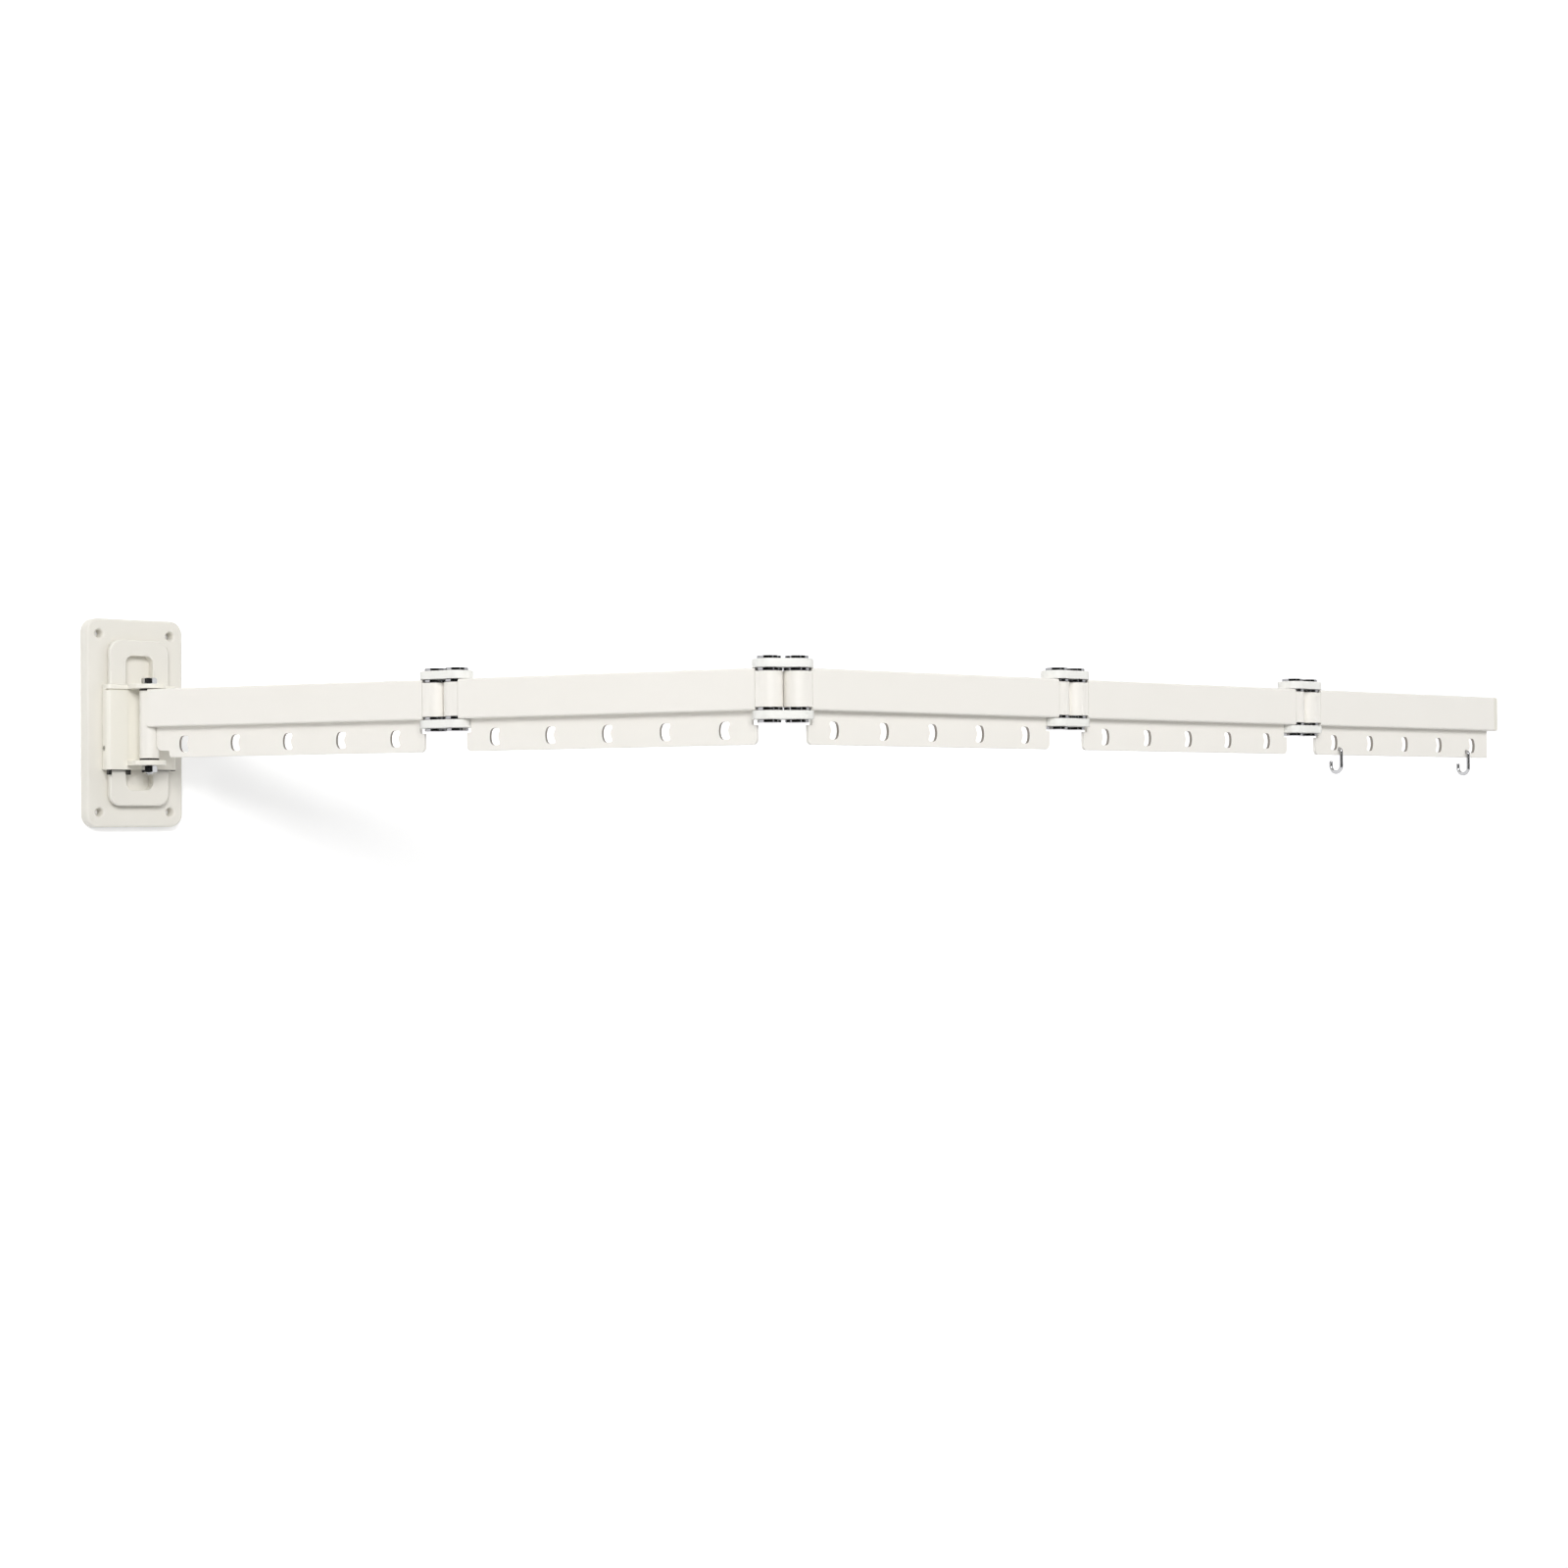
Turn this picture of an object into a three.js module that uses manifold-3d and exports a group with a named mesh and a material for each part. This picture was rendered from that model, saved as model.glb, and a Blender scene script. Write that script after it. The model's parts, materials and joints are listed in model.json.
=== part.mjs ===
// Wall mounted folding clothes rack: a wall plate, a clamped carriage and five arms in a chain.
// Millimetres, +Z up, +Y into the wall, origin at the centre of the plate's back face.
import * as THREE from 'three';
import { mergeVertices } from 'three/addons/utils/BufferGeometryUtils.js';
import Module from 'manifold-3d';

const wasm = await Module();
wasm.setup();

// Gaps shared by all pieces
const fit = 0.3;
const slideGap = 0.4;
const overrun = 2;

// Wall plate
const plateWidth = 79.5;
const plateHeight = 158.6;
const plateThickness = 10.5;
const plateCorner = 10;
const plateEdge = 2.2;
const screwInsetX = 10.45;
const screwInsetZ = 11.6;
const screwHole = 5.5;
const screwSink = 9.4;

// Rail loop on the plate
const railWidth = 48.8;
const railHeight = 126;
const railBar = 13.4;
const railEndBar = 12;
const railRise = 7.5;
const railNeck = 2.7;
const railUndercut = 3;
const railCorner = 9;
const railInnerCorner = 5.5;
const railEdge = 1.2;

// Carriage
const armLevel = 10.5;
const standOff = 23;
const carriageWall = 4.1;
const carriageBottom = 46.1;
const sleeveReach = 12;
const webReach = 10.2;
const carriageBackGap = 0.5;
const carriageCorner = 3;
const earWidth = 24.8;
const upperEar = 3.4;
const lowerEar = 3.7;
const creaseHeight = 0.5;
const creaseDepth = 0.7;
const clampScrew = 4;
const clampScrewSocket = 2;
const clampScrewDrop = 30;

// First arm's pivot
const boltDiameter = 6;
const boltHead = 10;
const boltHeadHeight = 4.4;
const boltTip = 1.4;
const nutHeight = 5.2;
const hexChamfer = 0.7;
const pivotWasher = 1;
const baseBarrel = 14.4;
const baseBarrelDrop = 23.4;

// Arm profile
const armPitch = 250.5;
const lastArmSetback = 7;
const tubeHeight = 28.6;
const tubeDepth = 18;
const tubeWall = 1.5;
const tubeCorner = 1.6;
const tubeBaseSetback = 4.5;
const tubeSetback = 6.5;
const stripThickness = 2.5;
const stripDrop = 23.1;
const stripSetback = 9;
const stripCorner = 3.5;
const notchSetback = 12.4;
const notchDrop = 9.7;
const baseStripCorner = 5;
const baseStripStep = 5.2;
const baseStepSetback = 19.2;
const baseStepFillet = 1.5;
const baseStepCorner = 2.8;
const capLength = 5;

// Hanger holes
const holeCount = 5;
const holeOffset = 32.4;
const holeFarOffset = 33.7;
const holeWidth = 8.2;
const holeHeight = 12.2;
const holeDrop = 13.1;
const holeDipShare = 0.6;
const holeRoundShare = 0.55;

// Hinges
const linkPitch = 19.2;
const hingeBarrel = 18;
const barrelHeight = 24.4;
const plugLength = 30;
const washerDiameter = 17.8;
const washerThickness = 1.8;
const linkEnd = 11.6;
const linkThickness = 6;
const linkChamfer = 0.8;
const rivetShaft = 8;
const rivetHead = 16.4;
const rivetRise = 2;
const rivetRim = 0.6;

// Hooks
const wire = 3;
const hookHoleRise = 4.8;
const hookInset = 6.4;
const hookFarInset = 7.8;
const hookTopBend = 2;
const hookBowl = 10.5;
const hookDrop = 18.75;
const hookTipRise = 9.3;
const hookBackLeg = 4.4;

// Rest pose, in degrees: the first arm's heading, then each hinge's two angles
const baseHeading = -63.3;
const hingeAngles = [[-8.8, 5.8], [38.6, 27.7], [3.4, -3.4], [3.4, -3.4]];

// Facet counts
const roundSides = 24;
const smallSides = 16;
const cornerSteps = 5;
const holePoints = 14;
const wireSides = 8;
const wireSteps = 34;

// Places that follow from the sizes
const tubeTop = tubeHeight / 2;
const stripBottom = -tubeTop - stripDrop;
const innerDepth = tubeDepth - 2 * tubeWall;
const barrelTop = barrelHeight / 2;
const washerBottom = barrelTop + fit;
const washerTop = washerBottom + washerThickness;
const linkBottom = washerTop + fit;
const linkTop = linkBottom + linkThickness;
const rivetSeat = linkTop + fit;
const earBottom = tubeTop + 2 * fit;
const earTop = earBottom + upperEar;
const baseBarrelTop = earBottom - 2 * fit - pivotWasher;
const baseBarrelBottom = -tubeTop - baseBarrelDrop;
const lowerEarTop = baseBarrelBottom - 2 * fit - pivotWasher;
const lowerEarBottom = lowerEarTop - lowerEar;
const holeLevel = -tubeTop - holeDrop;
const holePitch = (armPitch - holeOffset - holeFarOffset) / (holeCount - 1);
const lastArmReach = armPitch - lastArmSetback;
const hookShank = stripThickness / 2 + fit + wire / 2;
const hookLevel = stripBottom + hookHoleRise;
const carriageWidth = railWidth + 2 * carriageWall;
const screwX = plateWidth / 2 - screwInsetX;
const screwZ = plateHeight / 2 - screwInsetZ;

// Finishes
const cream = new THREE.MeshStandardMaterial({ color: '#efece2', roughness: 0.45, metalness: 0, flatShading: true });
const plateCream = new THREE.MeshStandardMaterial({ color: '#e9e5d9', roughness: 0.5, metalness: 0, flatShading: true });
const capCream = new THREE.MeshStandardMaterial({ color: '#e6e3d8', roughness: 0.5, metalness: 0, flatShading: true });
const chrome = new THREE.MeshStandardMaterial({ color: '#c9cacc', roughness: 0.12, metalness: 1, flatShading: true });
const darkSteel = new THREE.MeshStandardMaterial({ color: '#6d6a66', roughness: 0.4, metalness: 1, flatShading: true });

// Points of an arc, from one angle to another in turns of the full circle
function arc(centreX, centreY, radius, fromTurn, toTurn, steps) {
  const points = [];
  for (let i = 0; i <= steps; i += 1) {
    const angle = 2 * Math.PI * (fromTurn + (toTurn - fromTurn) * i / steps);
    points.push(new THREE.Vector2(centreX + radius * Math.cos(angle), centreY + radius * Math.sin(angle)));
  }
  return points;
}

// Rectangle with round corners, centred, moved in by an inset that keeps the corner centres
function roundedOutline(width, height, radius, steps, inset = 0) {
  const x = width / 2 - radius;
  const y = height / 2 - radius;
  const r = radius - inset;
  return [
    ...arc(x, y, r, 0, 0.25, steps),
    ...arc(-x, y, r, 0.25, 0.5, steps),
    ...arc(-x, -y, r, 0.5, 0.75, steps),
    ...arc(x, -y, r, 0.75, 1, steps),
  ];
}

// Turns a geometry's faces over if they point in
function facingOut(geometry) {
  const position = geometry.attributes.position;
  const index = geometry.index.array;
  const [a, b, c] = [new THREE.Vector3(), new THREE.Vector3(), new THREE.Vector3()];
  let volume = 0;
  for (let i = 0; i < index.length; i += 3) {
    a.fromBufferAttribute(position, index[i]);
    b.fromBufferAttribute(position, index[i + 1]);
    c.fromBufferAttribute(position, index[i + 2]);
    volume += a.dot(b.cross(c));
  }
  if (volume < 0) {
    for (let i = 0; i < index.length; i += 3) {
      [index[i], index[i + 1]] = [index[i + 1], index[i]];
    }
  }
  return geometry;
}

// Solid for joining and cutting, from a closed geometry
function solid(geometry) {
  const bare = geometry.clone();
  bare.deleteAttribute('normal');
  bare.deleteAttribute('uv');
  const merged = facingOut(mergeVertices(bare));
  return new wasm.Manifold(new wasm.Mesh({
    numProp: 3,
    vertProperties: new Float32Array(merged.attributes.position.array),
    triVerts: new Uint32Array(merged.index.array),
  }));
}

// Named mesh of a solid
function piece(name, body, material) {
  const mesh = body.getMesh();
  const geometry = new THREE.BufferGeometry();
  geometry.setAttribute('position', new THREE.BufferAttribute(new Float32Array(mesh.vertProperties), 3));
  geometry.setIndex(new THREE.BufferAttribute(new Uint32Array(mesh.triVerts), 1));
  const made = new THREE.Mesh(geometry, material);
  made.name = name;
  return made;
}

// Plan outline raised from one level to another along Z
function raised(outline, bottom, top) {
  const geometry = new THREE.ExtrudeGeometry(new THREE.Shape(outline), { depth: top - bottom, bevelEnabled: false });
  return solid(geometry.translate(0, 0, bottom));
}

// Side outline in X and Z, spread evenly across Y
function slab(outline, thickness) {
  const geometry = new THREE.ExtrudeGeometry(new THREE.Shape(outline), { depth: thickness, bevelEnabled: false });
  geometry.translate(0, 0, -thickness / 2);
  return solid(geometry.rotateX(Math.PI / 2));
}

// Turned piece about Z, from a profile of radius and level
function turned(profile, sides) {
  const points = profile.map(([radius, level]) => new THREE.Vector2(radius, level));
  return solid(new THREE.LatheGeometry(points, sides).rotateX(Math.PI / 2));
}

function rod(diameter, bottom, top, sides) {
  return turned([[0, bottom], [diameter / 2, bottom], [diameter / 2, top], [0, top]], sides);
}

function ring(inner, outer, bottom, top, sides) {
  const [a, b] = [inner / 2, outer / 2];
  return turned([[a, bottom], [b, bottom], [b, top], [a, top], [a, bottom]], sides);
}

// Solid through outlines of one point count at rising levels, placed by a function of point and level
function loft(layers, place) {
  const count = layers[0].outline.length;
  const positions = [];
  const index = [];
  for (const { outline, level } of layers) {
    for (const point of outline) {
      positions.push(...place(point, level));
    }
  }
  for (let i = 0; i + 1 < layers.length; i += 1) {
    for (let j = 0; j < count; j += 1) {
      const [a, b] = [i * count + j, i * count + (j + 1) % count];
      index.push(a, b, b + count, a, b + count, a + count);
    }
  }
  const last = (layers.length - 1) * count;
  for (const [a, b, c] of THREE.ShapeUtils.triangulateShape(layers[0].outline, [])) {
    index.push(a, c, b);
  }
  for (const [a, b, c] of THREE.ShapeUtils.triangulateShape(layers[layers.length - 1].outline, [])) {
    index.push(last + a, last + b, last + c);
  }
  const geometry = new THREE.BufferGeometry();
  geometry.setAttribute('position', new THREE.Float32BufferAttribute(positions, 3));
  geometry.setIndex(index);
  return solid(geometry);
}

// Stands an outline in X and Z at a distance in front of the wall
const onWall = (point, level) => [point.x, -level, point.y];

// Layers that round an outline's front edge, from a level up to the front
function roundedFront(outlineAt, start, front, edge) {
  const layers = [{ outline: outlineAt(0), level: start }];
  for (const turn of [0, 1 / 3, 2 / 3, 1]) {
    const angle = turn * Math.PI / 2;
    const inset = edge * (1 - Math.cos(angle));
    layers.push({ outline: outlineAt(inset), level: front - edge + edge * Math.sin(angle) });
  }
  return layers;
}

function wallPlate() {
  const outlineAt = (inset) => roundedOutline(plateWidth, plateHeight, plateCorner, 2 * cornerSteps, inset);
  let body = loft(roundedFront(outlineAt, 0, plateThickness, plateEdge), onWall);
  const sinkDepth = (screwSink - screwHole) / 2;
  const drill = turned([
    [0, -overrun],
    [screwHole / 2, -overrun],
    [screwHole / 2, plateThickness - sinkDepth],
    [screwSink / 2, plateThickness],
    [screwSink / 2, plateThickness + overrun],
    [0, plateThickness + overrun],
  ], smallSides);
  for (const x of [-screwX, screwX]) {
    for (const z of [-screwZ, screwZ]) {
      body = body.subtract(drill.rotate([90, 0, 0]).translate([x, 0, z]));
    }
  }
  return body;
}

// T-shaped loop: a neck on the plate and a wider head, round a long opening
function railLoop() {
  const front = plateThickness + railRise;
  const outerAt = (inset) => roundedOutline(railWidth, railHeight, railCorner, cornerSteps, inset);
  const outer = loft([
    { outline: outerAt(railUndercut), level: plateThickness },
    { outline: outerAt(railUndercut), level: plateThickness + railNeck },
    ...roundedFront(outerAt, plateThickness + railNeck, front, railEdge),
  ], onWall);
  const [openingWidth, openingHeight] = [railWidth - 2 * railBar, railHeight - 2 * railEndBar];
  const innerAt = (flare) => roundedOutline(
    openingWidth + 2 * flare, openingHeight + 2 * flare, railInnerCorner + flare, cornerSteps);
  const opening = loft([
    { outline: innerAt(0), level: plateThickness - overrun },
    { outline: innerAt(0), level: front - railEdge },
    { outline: innerAt(railEdge / 3), level: front - railEdge / 3 },
    { outline: innerAt(railEdge), level: front },
    { outline: innerAt(railEdge), level: front + overrun },
  ], onWall);
  return outer.subtract(opening);
}

// Both halves of an outline given from its front centre round the +X side to its back centre
function mirrored(half) {
  const other = half.map((point) => new THREE.Vector2(-point.x, point.y)).reverse();
  return [...half, ...other];
}

// Carriage plan: front wall and side walls with lips behind the rail's head
function carriagePlan(inset = 0) {
  const [frontY, backY] = [standOff - sleeveReach + inset, standOff - carriageBackGap];
  const outerX = carriageWidth / 2 - inset;
  const wallX = railWidth / 2 + fit;
  const lipX = railWidth / 2 - railUndercut + fit;
  const lipY = standOff - railNeck + slideGap;
  const innerY = standOff - railRise - slideGap;
  const point = (x, y) => new THREE.Vector2(x, y);
  return mirrored([
    ...arc(outerX - carriageCorner, frontY + carriageCorner, carriageCorner, 0.75, 1, cornerSteps),
    point(outerX, backY), point(lipX, backY), point(lipX, lipY), point(wallX, lipY),
    point(wallX, innerY),
  ]);
}

// Key in the rail's opening, whose round ends are the stops of the carriage's travel
function carriageKey() {
  const width = railWidth - 2 * railBar - 2 * slideGap;
  const [frontY, backY] = [standOff - (webReach + railRise) / 2, standOff - carriageBackGap];
  const height = earTop + carriageBottom - 2 * fit;
  const outline = roundedOutline(width, height, railInnerCorner, cornerSteps);
  return slab(outline, backY - frontY).translate([0, (frontY + backY) / 2, (earTop - carriageBottom) / 2]);
}

function earPlan() {
  const radius = earWidth / 2;
  const rootY = standOff - railRise - slideGap;
  return [...arc(0, 0, radius, 0.5, 1, 2 * cornerSteps + 2), new THREE.Vector2(radius, rootY),
    new THREE.Vector2(-radius, rootY)];
}

function carriageBody() {
  let body = raised(carriagePlan(), -carriageBottom, earTop);
  const webY = standOff - webReach;
  const [recessX, frontY] = [earWidth / 2, standOff - sleeveReach - overrun];
  const recess = [
    new THREE.Vector2(-recessX, frontY), new THREE.Vector2(recessX, frontY),
    new THREE.Vector2(recessX, webY), new THREE.Vector2(-recessX, webY),
  ];
  body = body.subtract(raised(recess, -carriageBottom - overrun, earBottom));
  const around = roundedOutline(carriageWidth + 2 * overrun, 2 * standOff, carriageCorner, 1);
  const crease = raised(around, earBottom - creaseHeight, earBottom)
    .subtract(raised(carriagePlan(creaseDepth), earBottom - creaseHeight - overrun, earBottom + overrun))
    .subtract(raised(around, earBottom - creaseHeight, earBottom).translate([0, 2 * standOff - railRise, 0]));
  body = body.subtract(crease);
  body = body.add(raised(earPlan(), earBottom, earTop));
  body = body.add(raised(earPlan(), lowerEarBottom, lowerEarTop)).add(carriageKey());
  body = body.subtract(rod(boltDiameter + 2 * fit, lowerEarBottom - overrun, earTop + overrun, smallSides));
  const screwBore = rod(clampScrew + 2 * fit, -carriageWidth / 2 - overrun, -railWidth / 2, smallSides);
  return body.subtract(screwBore.rotate([0, 90, 0]).translate([0, clampScrewY(), -clampScrewDrop]));
}

// The clamp screw presses on the middle of the rail head's side
function clampScrewY() {
  return standOff - (railNeck + railRise) / 2;
}

function clampScrewBody() {
  const [outer, inner] = [-carriageWidth / 2, -railWidth / 2 - fit];
  const socketDepth = (inner - outer) / 2;
  const socket = rod(clampScrewSocket, outer - overrun, outer + socketDepth, 6);
  return rod(clampScrew, outer, inner, smallSides).subtract(socket)
    .rotate([0, 90, 0]).translate([0, clampScrewY(), -clampScrewDrop]);
}

// Hexagon with both ends chamfered
function hexagon(acrossFlats, bottom, top) {
  const corners = 2 * acrossFlats / Math.sqrt(3);
  const chamfered = turned([
    [0, bottom], [acrossFlats / 2, bottom], [acrossFlats / 2 + hexChamfer, bottom + hexChamfer],
    [acrossFlats / 2 + hexChamfer, top - hexChamfer], [acrossFlats / 2, top], [0, top],
  ], roundSides);
  return rod(corners, bottom, top, 6).intersect(chamfered);
}

function pivotBolt() {
  const headBottom = earTop + fit;
  const tip = lowerEarBottom - fit - nutHeight - boltTip;
  return hexagon(boltHead, headBottom, headBottom + boltHeadHeight)
    .add(rod(boltDiameter, tip, headBottom + hexChamfer, smallSides));
}

function pivotNut() {
  const top = lowerEarBottom - fit;
  return hexagon(boltHead, top - nutHeight, top)
    .subtract(rod(boltDiameter + 2 * fit, top - nutHeight - overrun, top + overrun, smallSides));
}

// Kidney outline in X and Z: one side bulges, the other dips in at half its height
function kidney(dipSide) {
  const points = [];
  for (let i = 0; i < holePoints; i += 1) {
    const angle = 2 * Math.PI * (i + 0.5) / holePoints;
    const across = Math.abs(Math.cos(angle));
    const side = Math.sign(Math.cos(angle));
    const dip = side > 0 ? holeDipShare * across ** 4 : 0;
    points.push([side * (across ** holeRoundShare) - dip, Math.sin(angle)]);
  }
  const xs = points.map(([x]) => x);
  const zs = points.map(([, z]) => z);
  const [low, high] = [Math.min(...xs), Math.max(...xs)];
  const middle = (low + high) / 2;
  const outline = points.map(([x, z]) => new THREE.Vector2(
    dipSide * (x - middle) / (high - low) * holeWidth, z / (2 * Math.max(...zs)) * holeHeight));
  return dipSide > 0 ? outline : outline.reverse();
}

// Cross section of an arm: a hollow flat tube with a strip below its middle
function armSection() {
  const outline = roundedOutline(tubeDepth, tubeHeight, tubeCorner, 2);
  const right = outline.findIndex((point) => point.x > 0 && point.y < -tubeTop + tubeWall / 2);
  const strip = [
    new THREE.Vector2(-stripThickness / 2, -tubeTop),
    new THREE.Vector2(-stripThickness / 2, stripBottom),
    new THREE.Vector2(stripThickness / 2, stripBottom),
    new THREE.Vector2(stripThickness / 2, -tubeTop),
  ];
  const shape = new THREE.Shape([...outline.slice(0, right), ...strip, ...outline.slice(right)]);
  shape.holes.push(new THREE.Path(roundedOutline(innerDepth, tubeHeight - 2 * tubeWall, tubeCorner / 2, 1)));
  return shape;
}

// What is cut off the strip at a hinge end, so that the link below the tube passes
function stripEndCut() {
  const [low, step] = [stripBottom - overrun, -tubeTop - notchDrop];
  return [
    new THREE.Vector2(-overrun, low), new THREE.Vector2(stripSetback + stripCorner, low),
    ...arc(stripSetback + stripCorner, stripBottom + stripCorner, stripCorner, 0.75, 0.5, cornerSteps),
    new THREE.Vector2(stripSetback, step), new THREE.Vector2(notchSetback, step),
    new THREE.Vector2(notchSetback, -tubeTop), new THREE.Vector2(-overrun, -tubeTop),
  ];
}

// The first arm's strip starts beside the barrel with a round corner and steps down after it
function stripBaseCut() {
  const [low, step] = [stripBottom - overrun, stripBottom + baseStripStep];
  const start = baseBarrel / 2 + slideGap;
  const [fillet, corner] = [baseStepFillet, baseStepCorner];
  return [
    new THREE.Vector2(-overrun, low), new THREE.Vector2(baseStepSetback + corner, low),
    ...arc(baseStepSetback + corner, stripBottom + corner, corner, 0.75, 0.5, cornerSteps),
    ...arc(baseStepSetback - fillet, step - fillet, fillet, 0, 0.25, 2),
    ...arc(start + baseStripCorner, step + baseStripCorner, baseStripCorner, 0.75, 0.5, cornerSteps),
    new THREE.Vector2(start, -tubeTop), new THREE.Vector2(-overrun, -tubeTop),
  ];
}

function armProfile(number) {
  const isFirst = number === 1;
  const isLast = number === hingeAngles.length + 1;
  const start = isFirst ? tubeBaseSetback : tubeSetback;
  const end = isLast ? lastArmReach - capLength - fit : armPitch - tubeSetback;
  const along = new THREE.ExtrudeGeometry(armSection(), { depth: end - start, bevelEnabled: false });
  along.applyMatrix4(new THREE.Matrix4().makeBasis(
    new THREE.Vector3(0, 1, 0), new THREE.Vector3(0, 0, 1), new THREE.Vector3(1, 0, 0)));
  let body = solid(along.translate(start, 0, 0));
  const cope = (diameter) => rod(diameter + 2 * fit, -tubeTop - fit, tubeTop + fit, smallSides);
  body = body.subtract(cope(isFirst ? baseBarrel : washerDiameter));
  body = body.subtract(slab(isFirst ? stripBaseCut() : stripEndCut(), tubeDepth));
  if (!isLast) {
    body = body.subtract(cope(washerDiameter).translate([armPitch, 0, 0]));
    body = body.subtract(slab(stripEndCut(), tubeDepth).rotate([0, 0, 180]).translate([armPitch, 0, 0]));
  }
  const hole = slab(kidney(dipSide(number)), stripThickness + overrun);
  for (let i = 0; i < holeCount; i += 1) {
    body = body.subtract(hole.translate([holeOffset + i * holePitch, 0, holeLevel]));
  }
  if (isLast) {
    const half = stripThickness / 2 + overrun;
    const hookHole = rod(wire + 2 * fit, -half, half, smallSides).rotate([90, 0, 0]);
    for (const x of hookPlaces()) {
      body = body.subtract(hookHole.translate([x, 0, hookLevel]));
    }
  }
  return body;
}

// The last arm's two hooks hang in small holes of their own, beside the first and the last hanger hole
function hookPlaces() {
  return [holeOffset + hookInset, holeOffset + (holeCount - 1) * holePitch - hookFarInset];
}

// The first two arms hang with the holes' dip towards their far end, the others towards their near end
function dipSide(number) {
  return number <= 2 ? 1 : -1;
}

function plug(start) {
  const [side, end] = [innerDepth / 2 - fit, start + plugLength];
  return raised([
    new THREE.Vector2(start, -side), new THREE.Vector2(end, -side),
    new THREE.Vector2(end, side), new THREE.Vector2(start, side),
  ], -barrelTop, barrelTop);
}

function baseKnuckle() {
  const barrel = rod(baseBarrel, baseBarrelBottom, baseBarrelTop, roundSides);
  const bore = rod(boltDiameter + 2 * fit, baseBarrelBottom - overrun, baseBarrelTop + overrun, smallSides);
  return barrel.add(plug(0)).subtract(bore);
}

// Hinge end of an arm: a barrel, a neck as thick as the tube and a plug inside it, pointing to +X
function hingeKnuckle() {
  const radius = hingeBarrel / 2;
  const neck = tubeSetback - fit;
  const plan = [...arc(0, 0, radius, 0.25, 0.75, roundSides / 2), new THREE.Vector2(neck, -radius),
    new THREE.Vector2(neck, radius)];
  const bore = rod(rivetShaft + 2 * fit, -barrelTop - overrun, barrelTop + overrun, smallSides);
  return raised(plan, -barrelTop, barrelTop).add(plug(neck - fit)).subtract(bore);
}

function endCap() {
  const outline = roundedOutline(tubeDepth, tubeHeight, tubeCorner, 2);
  const turn = new THREE.Matrix4().makeBasis(
    new THREE.Vector3(0, 1, 0), new THREE.Vector3(0, 0, 1), new THREE.Vector3(1, 0, 0));
  const along = (points, from, to) => {
    const geometry = new THREE.ExtrudeGeometry(new THREE.Shape(points), { depth: to - from, bevelEnabled: false });
    return solid(geometry.applyMatrix4(turn).translate(from, 0, 0));
  };
  const inner = roundedOutline(innerDepth - 2 * fit, tubeHeight - 2 * tubeWall - 2 * fit, tubeCorner / 2, 1);
  const face = lastArmReach - capLength;
  return along(outline, face, lastArmReach).add(along(inner, face - 2 * capLength, face + fit));
}

// Link plate round both pivots, its outer edges chamfered
function linkPlate(side) {
  const outlineAt = (inset) => [
    ...arc(linkPitch, 0, linkEnd - inset, -0.25, 0.25, roundSides / 2),
    ...arc(0, 0, linkEnd - inset, 0.25, 0.75, roundSides / 2),
  ];
  const place = (point, level) => [point.x, point.y, side * level];
  let body = loft([
    { outline: outlineAt(0), level: linkBottom },
    { outline: outlineAt(0), level: linkTop - linkChamfer },
    { outline: outlineAt(linkChamfer), level: linkTop },
  ], place);
  const bore = rod(rivetShaft + 2 * fit, -linkTop - overrun, linkTop + overrun, smallSides);
  body = body.subtract(bore);
  return body.subtract(bore.translate([linkPitch, 0, 0]));
}

function rivet() {
  const dome = [];
  for (const share of [0, 1 / 2, 1]) {
    const angle = share * Math.PI / 2;
    const rise = rivetRim + (rivetRise - rivetRim) * Math.sin(angle);
    dome.push([rivetHead / 2 * Math.cos(angle), rivetSeat + rise]);
  }
  const upper = [[rivetShaft / 2, rivetSeat], [rivetHead / 2, rivetSeat], ...dome];
  upper[upper.length - 1][0] = 0;
  const lower = upper.map(([radius, level]) => [radius, -level]).reverse();
  return turned([...lower, ...upper], smallSides);
}

// Bent wire hook about its top run along Y, which is the origin: a short leg behind, a shank and a bowl
function hook() {
  const path = new THREE.CurvePath();
  const point = (y, z) => new THREE.Vector3(0, y, z);
  const bend = (y, z, radius, fromTurn, toTurn) => {
    const points = arc(y, z, radius, fromTurn, toTurn, 8).map((p) => point(p.x, p.y));
    for (let i = 0; i + 1 < points.length; i += 1) {
      path.add(new THREE.LineCurve3(points[i], points[i + 1]));
    }
  };
  const bowl = hookBowl / 2;
  const bowlLevel = -hookDrop + bowl;
  path.add(new THREE.LineCurve3(point(hookShank, -hookBackLeg), point(hookShank, -hookTopBend)));
  bend(hookShank - hookTopBend, -hookTopBend, hookTopBend, 0, 0.25);
  path.add(new THREE.LineCurve3(point(hookShank - hookTopBend, 0), point(hookTopBend - hookShank, 0)));
  bend(hookTopBend - hookShank, -hookTopBend, hookTopBend, 0.25, 0.5);
  path.add(new THREE.LineCurve3(point(-hookShank, -hookTopBend), point(-hookShank, bowlLevel)));
  bend(bowl - hookShank, bowlLevel, bowl, 0.5, 1);
  path.add(new THREE.LineCurve3(point(hookBowl - hookShank, bowlLevel),
    point(hookBowl - hookShank, bowlLevel - bowl + hookTipRise)));
  const section = new THREE.Shape(arc(0, 0, wire / 2, 0, 1 - 1 / wireSides, wireSides - 1));
  return solid(new THREE.ExtrudeGeometry(section, { steps: wireSteps, extrudePath: path, bevelEnabled: false }));
}

// The assembly: every group is one moving body, placed on the pivot that carries it
const rack = new THREE.Group();
rack.add(piece('wall_plate', wallPlate(), plateCream));
rack.add(piece('rail_loop', railLoop(), plateCream));

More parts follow.
